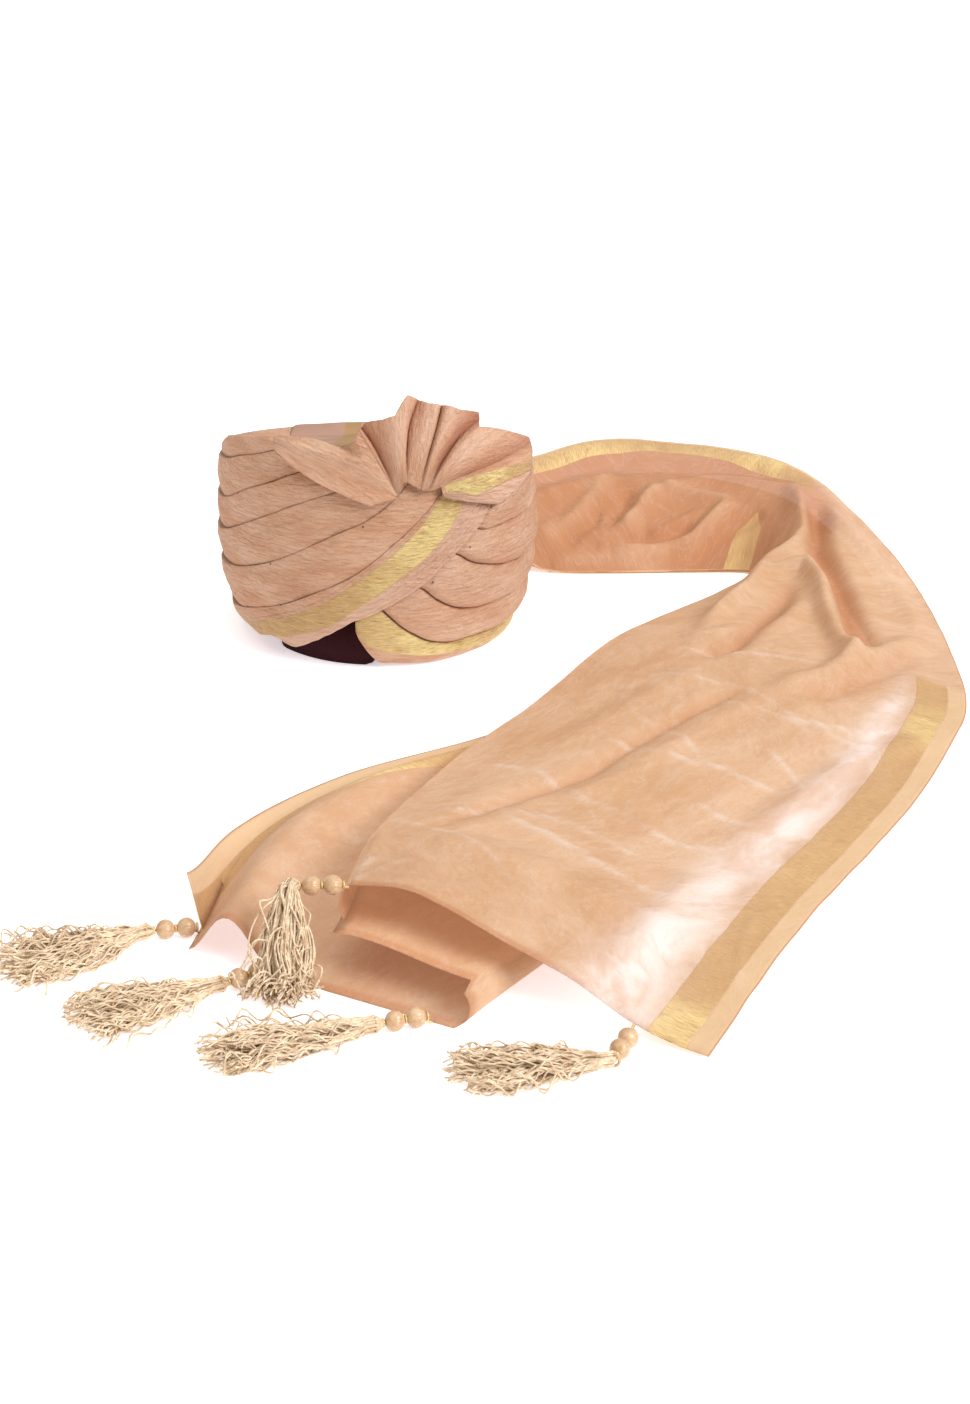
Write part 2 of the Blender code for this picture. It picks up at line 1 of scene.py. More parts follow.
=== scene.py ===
"""A ready-made wound turban, dressed: wound bands, pleated fan, sheer bordered tail and tassels.

Metres, in the frame of the solids: the origin is the middle of the head opening at floor level,
-Y is the wearer's front, and angles round the ring are degrees from +X. Lengths in the tables
are millimetres.
"""
import bisect
import functools
import json
import math
import random
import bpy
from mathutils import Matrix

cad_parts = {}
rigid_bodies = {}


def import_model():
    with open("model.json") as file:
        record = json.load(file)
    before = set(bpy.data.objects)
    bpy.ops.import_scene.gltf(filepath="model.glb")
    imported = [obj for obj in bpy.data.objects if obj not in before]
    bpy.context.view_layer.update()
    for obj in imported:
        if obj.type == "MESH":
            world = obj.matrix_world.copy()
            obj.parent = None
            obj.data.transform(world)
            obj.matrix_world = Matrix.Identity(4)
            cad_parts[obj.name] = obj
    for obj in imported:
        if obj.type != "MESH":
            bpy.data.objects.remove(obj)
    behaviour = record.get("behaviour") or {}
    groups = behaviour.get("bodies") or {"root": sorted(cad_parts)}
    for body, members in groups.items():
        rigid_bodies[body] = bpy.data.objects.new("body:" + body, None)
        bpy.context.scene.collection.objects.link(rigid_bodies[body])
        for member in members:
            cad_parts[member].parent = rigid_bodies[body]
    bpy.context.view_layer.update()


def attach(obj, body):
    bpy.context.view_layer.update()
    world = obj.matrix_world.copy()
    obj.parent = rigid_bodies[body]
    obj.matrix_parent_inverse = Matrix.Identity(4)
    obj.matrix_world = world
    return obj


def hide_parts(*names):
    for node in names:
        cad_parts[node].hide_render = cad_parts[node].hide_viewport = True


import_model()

from types import SimpleNamespace

import bpy
import numpy as np
from mathutils import Vector, noise

MM = 0.001

# Camera and light
CAMERA_PLACE = (0.092, -1.990, 0.804)
CAMERA_DOWN = 24.1
CAMERA_LENS = 64.1
FLOOR_SIZE = 80
SKY = (1.0, 0.955, 0.92)
SKY_STRENGTH = 0.36
# Name, where the light comes from, strength, softness (degrees) and colour
SUNS = [("key", (1.8, -1.2, 1.6), 2.85, 32, (0.965, 1.0, 1.06)),
        ("warm_fill", (-1.8, -1.0, 0.9), 0.17, 60, (1.0, 0.70, 0.52)),
        ("top", (-0.3, 0.3, 2.4), 1.5, 80, (1.0, 1.0, 1.0))]

# Ring
HEAD_HALF_WIDTH = 82.5 * MM
HEAD_HALF_LENGTH = 99.5 * MM
CAP_CLOTH = 2.5 * MM
CROWN_BELOW_RIM = 12 * MM
CROWN_DOME = 8 * MM
CROWN_ROUNDING = 6 * MM
CAP_ABOVE_FLOOR = 2 * MM
CAP_GAP = 0.95 * MM
# The lining starts this far below the crown's edge. Behind the arch in the hem the cap's wall
# hangs forward and lower, so that its near-black lining stands where the hollow's shadow falls on
# the floor: painted shade
LINING_BELOW_CROWN = 12 * MM
ARCH_SHADE_WALL_FORWARD = 17 * MM
ARCH_SHADE_WALL_LOWER = 1.6 * MM
BAND_GAP = 0.16 * MM
INNER_HALF_WIDTH = HEAD_HALF_WIDTH + CAP_CLOTH + CAP_GAP
INNER_HALF_LENGTH = HEAD_HALF_LENGTH + CAP_CLOTH + CAP_GAP
RING_LENGTH_TO_WIDTH = 1.06
RIM_HEIGHT = 157 * MM
RIM_TILT = 30 * MM
RIM_DROP_OUTSIDE = 6 * MM
RIM_DROP_INSIDE = 8 * MM
MOST_PROUD = 3.0 * MM
# The rim's outer lip stands up at the wearer's right front: angle, height (mm)
LIP = [(160, 0), (170, 1), (180, 4), (190, 7.5), (200, 10.5), (210, 12.5), (220, 14.5), (230, 15.5),
       (240, 14), (255, 7), (270, 0)]
RING_PROFILE = [(-10, 114), (0, 117), (20, 127), (45, 133.5), (75, 136.5), (105, 136.5),
                (135, 134.5), (160, 131), (190, 126), (215, 122)]
HEM = [(-96, 47), (-94, 30), (-88, 7), (-82, 4), (-68, 2), (-46, 1), (-20, 0), (90, 0), (160, 0),
       (180, 2), (205, 9), (229, 16), (238, 15), (249, 23), (256, 36), (264, 47), (270, 53),
       (280, 66), (289, 80), (296, 93), (304, 108), (310, 119), (318, 139), (324, 154), (331, 172)]
WRAP_LINES = [
    [(-96, 80), (-85, 54), (-79, 40), (-74, 31), (-69, 24), (-60, 18.5), (-50, 18.5), (-30, 15.5),
     (0, 14), (90, 18), (150, 20), (180, 23), (207, 30), (225, 43), (239, 55), (254, 73),
     (266, 89), (277, 110), (286, 128), (294, 146), (301, 162), (308, 178), (314, 190)],
    [(-90, 90), (-72, 73), (-66, 61), (-59, 51), (-52, 47), (-42, 45), (-25, 43), (0, 42),
     (90, 47), (150, 52), (180, 57), (204, 66), (220, 76), (234, 89), (249, 108), (261, 123),
     (269, 132), (277, 145), (285, 163), (292, 179), (297, 190)],
    [(-75, 112), (-58, 96), (-53, 88), (-45, 81), (-36, 75), (-18, 68), (0, 66), (90, 72),
     (150, 79), (180, 86), (204, 96), (224, 117), (240, 136), (251, 148), (261, 157), (270, 168),
     (279, 183), (284, 192)],
    [(-62, 125), (-49, 113), (-43, 111), (-35, 110), (-19, 107), (0, 103), (90, 95), (150, 105),
     (180, 113), (206, 125), (223, 144), (235, 156), (242, 164), (253, 174), (262, 184),
     (268, 192)],
    [(-50, 150), (-30, 150), (-10, 145), (0, 142), (90, 113), (150, 130), (180, 143), (204, 156),
     (217, 167), (228, 175), (239, 185), (246, 194)],
]
WRAP_ENDS = [(-95, 330), (-90, 310), (-90, 290), (-75, 275), (-60, 260), (-50, 240)]
# The gold stripe starts along the lowest band's upper edge
STRIP_TOP = WRAP_LINES[0][:9] + [
    (90, 12), (150, 12), (180, 13), (200, 16), (214, 21), (238, 43), (254, 62), (265, 81),
    (277, 103), (286, 122), (295, 146), (304, 170)]
STRIP_FOOT = [(-96, 38), (-92, 27), (-87, 19), (-78, 14), (-69, 11), (-47, 7), (-15, -4),
              (90, -5), (180, -4), (205, 1), (226, 14), (241, 27), (257, 44), (268, 64),
              (278, 81), (286, 95), (294, 112), (303, 139), (312, 165)]
# Length round the ring (mm) of one degree
ONE_DEGREE = 2.35
# Pressed folds along a band: share of its height and depth (mm)
BAND_CREASES = [(0.36, 0.6), (0.68, 0.5)]
# Soft unevenness of a band: depth (mm), how much shorter than its bumps' size they are along and
# across the band, shift of the pattern, and size (mm)
BAND_RIPPLES = [(1.3, 1, 2.2, 0, 46), (0.8, 1, 5.0, 0, 26), (0.35, 1.3, 6.0, 9, 9)]
# Gathered tucks along the lowest band's edge under the knot (mm from the edge)
GATHERED_LINES = (2.5, 6.5, 11.0, 16.0)
# The strip attribute of a corner where no gold stripe can be
OFF_STRIP = -9
# Small hand stitches that hold the bands: angle and height (mm)
STITCHES = [(235.5, 89.7), (268.5, 129.5), (238.5, 55.1), (291.2, 80.0), (304.9, 103.1),
            (314.5, 131.0)]
STITCH_RADIUS = 0.75 * MM
STITCH_PROUD = 3.4 * MM
# A stitch is this much flatter and taller than round
STITCH_STRETCH = (0.7, 1.5)

# Crown cloth drawn over the back of the rim: its two side edges (mm) and its gold stripe
DRAPE_LEFT = -76
DRAPE_RIGHT = 62
DRAPE_STRIPE = (-31, -17)
# It lies on the crown to the first share of its length, and over the rim to the second
DRAPE_ON_CROWN = 0.4
DRAPE_OVER_RIM = 0.88
DRAPE_CLOTH = 0.8 * MM
# Its end hangs down this far outside
DRAPE_END = 24 * MM

# Fan: direction from the knot (degrees) and reach (mm) of its outline
KNOT_X = 24 * MM
KNOT_HEIGHT = 152 * MM
FAN_GAP = 0.9 * MM
FAN_CLOTH = 2.2 * MM
FAN_LEAN = 0.345
FAN_THICKNESS = 1.0 * MM
FAN_OUTLINE = [
    (-4, 79), (5, 94), (12, 107), (21, 114), (27, 116), (35, 102), (43, 87), (49, 96), (56, 88),
    (67, 84), (72, 82), (79, 83), (84, 84), (87, 77), (91, 67), (100, 65), (111, 67), (117, 64),
    (124, 57), (136, 61), (140, 75), (143, 86), (147, 97), (152, 110), (156, 108), (160, 92),
    (164, 76), (168, 61), (174, 43), (183, 30), (193, 22)]
# Pleats of the fan: from and to direction, how far the fold stands forward (mm), and the share
# of its width where it stands furthest
FAN_FOLDS = [(-5, 24, 7, 0.55), (24, 46, 12, 0.62), (46, 66, 14, 0.72), (66, 79, 9, 0.3),
             (79, 116, 15, 0.2), (116, 194, 11, 0.25)]
FAN_BASE = 1.2
# What stands forward is seen lower by this share, counted from the second length
FAN_SEEN_LOWER = 0.45
FAN_EVEN = 5 * MM
# The fan's cloth stays at least this far in front of the middle of the head
FAN_LEAST_DEPTH = 30 * MM
# How far a pleat's line bends aside half way out (degrees)
FAN_BENDS = [(-5, 0), (24, 3), (46, -3), (66, 3), (79, -4), (97, 0), (116, 3), (134, 0), (194, 0)]
# Where each pleat starts beside and above the knot (mm)
FAN_ROOT_ASIDE = [(-5, 36), (24, 30), (46, 23), (66, 17), (79, 7), (97, 2), (116, 0), (194, 0)]
FAN_ROOT_ABOVE = [(-5, 0), (8, 2), (19, 9), (27, 6), (46, 3), (66, 4), (79, 10), (97, 4),
                  (116, 0), (194, 0)]
# The lobe's threads run this way (degrees)
LOBE_THREADS = 153
# The left lobe bends in over the rim from this much above it: it goes up by no more than the
# second length, softly over the third, and back by this many times what it doesn't go up
LOBE_BENDS_FROM = 2.0 * MM
LOBE_MOST_RISE = 8 * MM
LOBE_SOFT = 9 * MM
LOBE_BACK = 2.14
# Lower edge of the fan's gold stripe: share of the reach, direction (degrees)
FAN_STRIPE_FOOT = [(0.25, 9), (0.3, 8), (0.55, 3.5), (0.8, 10.5), (1.0, 13)]
FAN_STRIPE_TOP = 17.5

# Tail: one row a section, from the ring to the tasselled hem
TAIL_COLUMNS = ("inner_x", "inner_y", "outer_x", "outer_y", "turn_out", "turn_in", "fold_height",
                "crest_at", "crest", "outer_height", "lift", "tunnel", "overhang")
TAIL_SECTIONS = [
    (94.5, 114, 36.5, 146, 0.85, 0.06, 20, 0.55, 34, 26, 26, 0, 0),
    (140, 88, 92, 222, 0.88, 0.03, 5, 0.62, 42, 46, 4, 0, 0),
    (205, 86, 196, 288, 0.90, 0.02, 2, 0.60, 46, 57, 0, 0, 0),
    (270, 88, 285, 300, 0.90, 0.02, 2, 0.56, 47, 51, 0, 0, 0),
    (325, 86, 374, 243, 0.85, 0.04, 6, 0.60, 48, 52, 0, 0, 0),
    (336, 62, 428, 135, 0.80, 0.10, 22, 0.50, 48, 37, 0, 0, 0),
    (322, 28, 466, 12, 0.75, 0.12, 28, 0.42, 46, 12, 0, 0, 0),
    (276, -15, 474, -120, 0.70, 0.08, 22, 0.36, 36, 4, 0, 0, 0),
    (228, -62, 470, -200, 0.66, 0.03, 15, 0.32, 27, 2, 0, 0, 0),
    (186, -112, 448, -268, 0.62, 0.02, 13, 0.30, 21, 2, 0, 0, 0),
    (115, -237, 394, -390, 0.60, 0.04, 13, 0.30, 21, 2, 0, 0, 0),
    (-15, -329, 322, -514, 0.60, 0.22, 17, 0.38, 26, 2, 0, 12, 0),
    (-81, -425, 272, -612, 0.67, 0.29, 29, 0.42, 37, 2, 0, 22, 8),
    (-95, -547, 222, -722, 0.585, 0.31, 50, 0.45, 57, 2, 0, 30, 36)]
TAIL_FLOOR_GAP = 0.15 * MM
TAIL_SHEER = 0.4 * MM
# Lowest height of the cloth's middle (mm)
TAIL_FLOOR = (TAIL_FLOOR_GAP + TAIL_SHEER / 2) / MM
# The middle layer lies at this share of the top layer's height, and this far (mm) from the floor
MIDDLE_HEIGHT = 0.52
MIDDLE_LEAST = 3.4
# How far a folded edge rounds out (share of the section)
TURN_BULGE = 0.02
LAYER_OVERHANG = {"flap": 0.35, "bottom": 1.0, "turn_out": 0.8, "middle": 0.4, "turn_in": -0.15,
                  "top": -0.2}
LAYER_STEPS = {"flap": 4, "tunnel": 16, "bottom": 8, "turn_out": 6, "middle": 10, "turn_in": 6,
               "top": 96}
TAIL_STEPS = 330
# The tasselled hem hangs in waves (mm), each layer in its own
HEM_WAVE = 3.2
HEM_WAVE_PHASE = {"middle": 2.0, "turn_in": 0.4, "top": 0.9, "flap": 1.5}
# The hem's last thread, which is rolled and darker, starts at this share of the length
HEM_EDGE = 0.9955
# The front fold's edge lies down on the floor behind the turban, over this width (mm), to this
# height (mm)
FRONT_FALL = 30
FALLEN = 1.6
# The part behind the turban ends at this share of the length
BACK_END = 0.42
# The top layer clears the middle one by this much (mm)
TOP_CLEAR = 0.8
# Soft unevenness of the top layer: depth (mm), 1 where it also changes with the height, shift of
# the pattern, and size (mm)
TAIL_ROUGHNESS = [(2.0, 1, 0, 90), (1.1, 0, 30, 34), (0.4, 0, 60, 14)]
TUNNEL_INNER_END = 0.03
FLAP_HEIGHT = 39
FLAP_TUNNEL = 30
TAIL_FLAT = (0.66, 1.24)
BORDER_FROM = 15.5
BORDER_TO = 41.5
# Behind the turban the border lies this much (mm) nearer the edge
BORDER_ASIDE = 11
# Painted glow: emission strength standing in for light that comes through the cloth, and through
# the layer inside the fold
GLOW = 0.14
GLOW_INSIDE = 0.27

# Folds of the tail's top layer in plan: height (mm), width (mm) and the line that each follows
TAIL_FOLDS = [
    (6, 11, [(120, 160), (166, 186), (210, 209), (258, 190), (300, 205), (368, 180), (399, 126)]),
    (-7, 13, [(120, 196), (172, 232), (226, 250), (290, 240), (340, 235), (384, 190)]),
    (4, 7, [(197, 188), (202, 127), (217, 122), (250, 183)]),
    (-4, 9, [(225, 165), (232, 130), (238, 105)]),
    (4, 7, [(260, 92), (280, 117), (300, 143), (317, 166)]),
    (3, 6, [(150, 96), (190, 104), (227, 106), (270, 138), (301, 154)]),
    (-4, 9, [(150, 130), (175, 112), (196, 104)]),
    (-5, 8, [(276, 92), (296, 112), (322, 128), (345, 140)]),
    (14, 9, [(372, 168), (374, 120), (371, 67), (355, 36), (335, 16), (313, -41), (266, -103)]),
    (13, 9, [(322, -22), (347, -9), (364, -8), (374, -39), (373, -81), (379, -121), (388, -147),
             (374, -172)]),
    (-15, 11, [(392, 165), (390, 121), (380, 43), (391, -26), (397, -91), (400, -134)]),
    (-9, 10, [(350, 90), (345, 52), (330, 36)]),
    (-9, 9, [(350, -32), (335, -70), (318, -96), (291, -129), (260, -145)]),
    (5, 9, [(358, -66), (341, -92), (320, -105), (286, -112), (250, -112)]),
    (9, 11, [(456, -84), (422, -122), (392, -147), (359, -180), (314, -204)]),
    (-5, 10, [(440, -110), (415, -150), (380, -185), (345, -212)]),
    (7, 13, [(388, 158), (399, 126), (424, 62), (441, 7), (456, -84)]),
    (-6, 7, [(295, -198), (228, -276), (163, -369), (117, -413), (60, -468)]),
    (3, 9, [(320, -204), (250, -290), (188, -375), (140, -425)]),
    (3, 12, [(262, -170), (200, -250), (140, -330)]),
    (2.5, 11, [(430, -262), (360, -320), (300, -400), (250, -470)]),
    (-2.5, 13, [(390, -250), (330, -330), (270, -410)]),
    (3, 10, [(60, -500), (120, -520), (190, -560), (240, -600)]),
    (-3, 12, [(40, -470), (100, -480), (170, -510), (230, -540)]),
    (4, 12, [(-60, -372), (-20, -420), (10, -470), (30, -530)]),
    (3, 9, [(180, -620), (206, -560), (236, -500)]),
]
# Folds of the back part's front face, which lies down to the floor
BACK_FOLDS = [
    (7, 8, [(217, 122), (234, 160), (252, 188)]),
    (5, 7, [(252, 188), (284, 177), (317, 160)]),
    (-4, 7, [(198, 120), (214, 150), (226, 190)]),
    (3, 4, [(150, 94), (198, 98), (253, 89), (278, 79)]),
    (6, 6, [(205, 101), (246, 104), (280, 110), (309, 149), (324, 155)]),
    (-5, 6, [(214, 112), (250, 118), (284, 130)]),
    (5, 8, [(139, 112), (173, 138), (206, 209)]),
    (-4, 7, [(160, 108), (190, 134), (206, 170)]),
]
# Thin pressed lines, lifted and with a painted highlight along them: height (mm), width (mm) and
# the line that each follows
TAIL_CREASES = [
    (1.1, 2.6, [(205, -176), (240, -186), (294, -205), (331, -252), (380, -262), (429, -252)]),
    (1.2, 2.8, [(141, -403), (189, -429), (222, -461), (278, -467), (304, -486), (330, -492)]),
    (1.2, 2.8, [(102, -448), (158, -492), (198, -527), (232, -545), (262, -560)]),
    (1.0, 2.5, [(60, -440), (104, -440), (150, -452), (200, -490)]),
    (1.0, 2.3, [(263, -230), (300, -242), (345, -262), (392, -296)]),
    (1.0, 2.3, [(178, -300), (215, -330), (262, -345), (310, -372)]),
    (0.8, 2.3, [(196, -215), (205, -262), (238, -300), (250, -330)]),
    (0.8, 2.3, [(92, -352), (128, -366), (160, -410), (170, -450)]),
    (0.8, 2.3, [(300, -300), (318, -342), (322, -372), (300, -420)]),
    (0.8, 2.3, [(20, -452), (70, -480), (100, -530), (110, -560)]),
    (0.7, 2.0, [(240, -395), (262, -420), (300, -432), (338, -436)]),
    (0.8, 2.3, [(382, -290), (392, -320), (380, -352), (362, -372)]),
    (1.0, 2.5, [(300, -520), (270, -545), (255, -590), (250, -640)]),
    (0.7, 2.0, [(240, -128), (285, -140), (330, -150), (362, -160)]),
    (0.7, 2.0, [(-30, -396), (-10, -430), (20, -446)]),
    (1.2, 3.0, [(183, -692), (190, -665), (200, -640)]),
    (1.2, 3.0, [(180, -690), (178, -662), (184, -628)]),
    (1.0, 2.6, [(184, -694), (204, -676), (222, -662)]),
    (1.0, 2.6, [(8, -588), (24, -566), (46, -548)]),
    (1.0, 2.6, [(6, -586), (12, -560), (20, -536)]),
]
# Where the gold border catches the light: x, y, radius (mm) and strength
TAIL_SHINES = [
    (148, 200, 34, 0.8), (190, 240, 44, 1.0), (250, 256, 34, 0.5), (300, 262, 30, 0.45),
    (362, 246, 30, 1.0), (444, -250, 34, 1.0), (200, -690, 34, 0.9), (222, -694, 26, 0.8),
    (18, -345, 40, 0.9), (320, -480, 60, 0.15), (302, 75, 40, 0.9)]
# The single layer beside the border carries a pale painted sheen: share of the length,
# the band's middle inside the border (mm) and its width (mm)
SHEEN_MIDDLE = [(0.5, 6), (0.62, 12), (0.75, 17), (0.9, 26), (1.0, 32)]
SHEEN_WIDTH = [(0.5, 6), (0.62, 10), (0.75, 15), (0.9, 24), (1.0, 31)]
# Between these shares of the length the border is folded out of sight
BORDER_HIDDEN = (0.335, 0.595)
# The inner border shows in the hollow of the bend: line and half width (mm)
BEND_BORDER = [(338, 142), (321, 104), (306, 72), (288, 42), (274, 18)]
BEND_BORDER_HALF = 11

# Tassels
BEAD_RADIUS = 6.5 * MM
# Turns of thread round a bead, and the share of its radius between them
BEAD_TURNS = 24
BEAD_RIB = 0.035
CORD_RADIUS = 1.0 * MM
FIRST_BEAD_FROM_HEM = 10 * MM
BEAD_SPACING = 13.6 * MM
SEAT_GAP = 0.7 * MM
BEAD_FLOOR_GAP = 0.1 * MM
# The beads of a tassel that hangs lie this much above its start
BEADS_RAISED = 2 * MM
HEAD_FROM_BEAD = 1.2 * MM
HEAD_LENGTH = 11 * MM
TASSEL_COLUMNS = ("layer", "share", "cord_heading", "skirt_heading", "length", "spread", "drop")
TASSELS = [
    ("flap", 0.03, 190, 209, 96, 23, 0),
    ("bottom", 0.222, 213, 205, 92, 18, 0),
    ("bottom", 0.545, 197, 200, 102, 17, 0),
    ("top", 0.31, 182, 262, 58, 17, 48),
    ("top", 0.864, 246, 186, 92, 17, 0)]
# Thread rings: which bead, and how far from its middle along the cord (radii of the bead)
RINGS = [("upper_bead", -1.08), ("lower_bead", -1.05), ("lower_bead", 1.12)]
RING_RADIUS = 2.1 * MM
RING_THREAD = 0.8 * MM
# Binding round the skirt's head: how far along it, radius and thickness
BINDING = (4.5 * MM, 4.6 * MM, 1.0 * MM)
LOCKS = 14
STRANDS_PER_LOCK = 10
STRAYS = 16
STRAND_POINTS = 36
STRAND_RADIUS = 0.68 * MM
STRAND_FLOOR_GAP = 0.25 * MM
# Shortest and longest strand (shares of the skirt), and the lengths of their waves (mm)
STRAND_LENGTHS = (0.78, 1.03)
STRAND_WAVES = (6.5, 11)
# This share of the strands curls back, from this share of its length
CURLED = 0.2
CURLED_FROM = 0.86
# The locks lie on a spiral of this many turns
LOCK_TURNS = 2.4
# Half width of the skirt's neck, and height of the middle of a skirt that lies on the floor
NECK = 4.4 * MM
SKIRT_MIDDLE = 6.5 * MM


# Curves and small sums

def smooth(table, at):
    """The value at one place of the smooth curve through a table of (place, value) rows."""
    places = [row[0] for row in table]
    at = min(max(at, places[0]), places[-1])
    low = min(bisect.bisect_right(places, at), len(table) - 1) - 1

    def slope(i):
        before, after = table[max(i - 1, 0)], table[min(i + 1, len(table) - 1)]
        return (after[1] - before[1]) / (after[0] - before[0])

    span = places[low + 1] - places[low]
    t = (at - places[low]) / span
    return ((2 * t ** 3 - 3 * t ** 2 + 1) * table[low][1]
            + (t ** 3 - 2 * t ** 2 + t) * span * slope(low)
            + (3 * t ** 2 - 2 * t ** 3) * table[low + 1][1]
            + (t ** 3 - t ** 2) * span * slope(low + 1))


def straight(table, at):
    """The value at one place of the straight lines through a table of (place, value) rows."""
    return float(np.interp(at, [row[0] for row in table], [row[1] for row in table]))


def ramp(low, high, at):
    """0 below low, 1 above high, and a smooth rise between."""
    t = min(max((at - low) / (high - low), 0), 1)
    return t * t * (3 - 2 * t)


def hump(at, middle, width):
    """1 at the middle, fading to 0 on both sides of it."""
    return math.exp(-((at - middle) / width) ** 2)


def heading(degrees):
    """The unit vector of a heading in plan."""
    return Vector((math.cos(math.radians(degrees)), math.sin(math.radians(degrees)), 0))


def ripple(x, y, z, size):
    """Even noise from -1 to 1, with bumps about one size across."""
    return noise.noise(Vector((x / size, y / size, z / size)))


# Mesh helpers

def deselect_all():
    """Leave nothing selected and nothing in edit mode."""
    if bpy.context.object and bpy.context.object.mode != "OBJECT":
        bpy.ops.object.mode_set(mode="OBJECT")
    bpy.ops.object.select_all(action="DESELECT")


def select_only(piece):
    """Make one piece the selected and active one."""
    deselect_all()
    piece.select_set(True)
    bpy.context.view_layer.objects.active = piece


def started(primitive, name, **settings):
    """A new piece, begun from a plain form that its maker then reshapes."""
    deselect_all()
    primitive(**settings)
    piece = bpy.context.object
    piece.name = piece.data.name = name
    return piece


def move_corners(piece, place):
    """Lay each corner where place(corner) says, and shade the faces smooth."""
    for corner in piece.data.vertices:
        corner.co = place(corner.co)
    piece.data.shade_smooth()


def cloth_grid(name, across, along, place):
    """A grid of cloth with each corner laid by place(u, v), which gives its point and UV."""
    piece = started(bpy.ops.mesh.primitive_grid_add, name, x_subdivisions=across,
                    y_subdivisions=along, size=2)
    where = []

    def lay(corner):
        spot, uv = place((corner.x + 1) / 2, (corner.y + 1) / 2)
        where.append(uv)
        return spot

    move_corners(piece, lay)
    layer = piece.data.uv_layers.active.data
    for loop in piece.data.loops:
        layer[loop.index].uv = where[loop.vertex_index]
    return piece


def write_attributes(piece, **marks):
    """Numbers for each corner of the mesh, which its material reads by name."""
    for name, values in marks.items():
        made = piece.data.attributes.new(name=name, type="FLOAT", domain="POINT")
        made.data.foreach_set("value", values)


def close_tube(piece):
    """Sew a grid's long edges together and close its ends."""
    select_only(piece)
    bpy.ops.object.mode_set(mode="EDIT")
    bpy.ops.mesh.select_all(action="SELECT")
    bpy.ops.mesh.remove_doubles(threshold=0.00001)
    bpy.ops.mesh.select_all(action="DESELECT")
    bpy.ops.mesh.select_non_manifold()
    bpy.ops.mesh.fill_holes(sides=0)
    bpy.ops.mesh.select_all(action="SELECT")
    bpy.ops.mesh.normals_make_consistent(inside=False)
    bpy.ops.object.mode_set(mode="OBJECT")


def give_thickness(piece, thickness, offset=0.0, lining=0):
    """Turn a sheet into cloth of a thickness, with another material on its far side."""
    select_only(piece)
    wall = piece.modifiers.new("cloth", "SOLIDIFY")
    wall.thickness = thickness
    wall.offset = offset
    wall.material_offset = lining
    bpy.ops.object.modifier_apply(modifier=wall.name)


def seat(piece, material, slot, *nodes):
    """Dress a piece and let it stand for its solids."""
    if material is not None:
        piece.data.materials.append(material)
    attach(piece, "root")
    if nodes:
        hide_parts(*nodes)
    return piece


# Materials

def preset(node, values):
    """Set a node's plain inputs by name."""
    for name, value in values.items():
        node.inputs[name].default_value = value


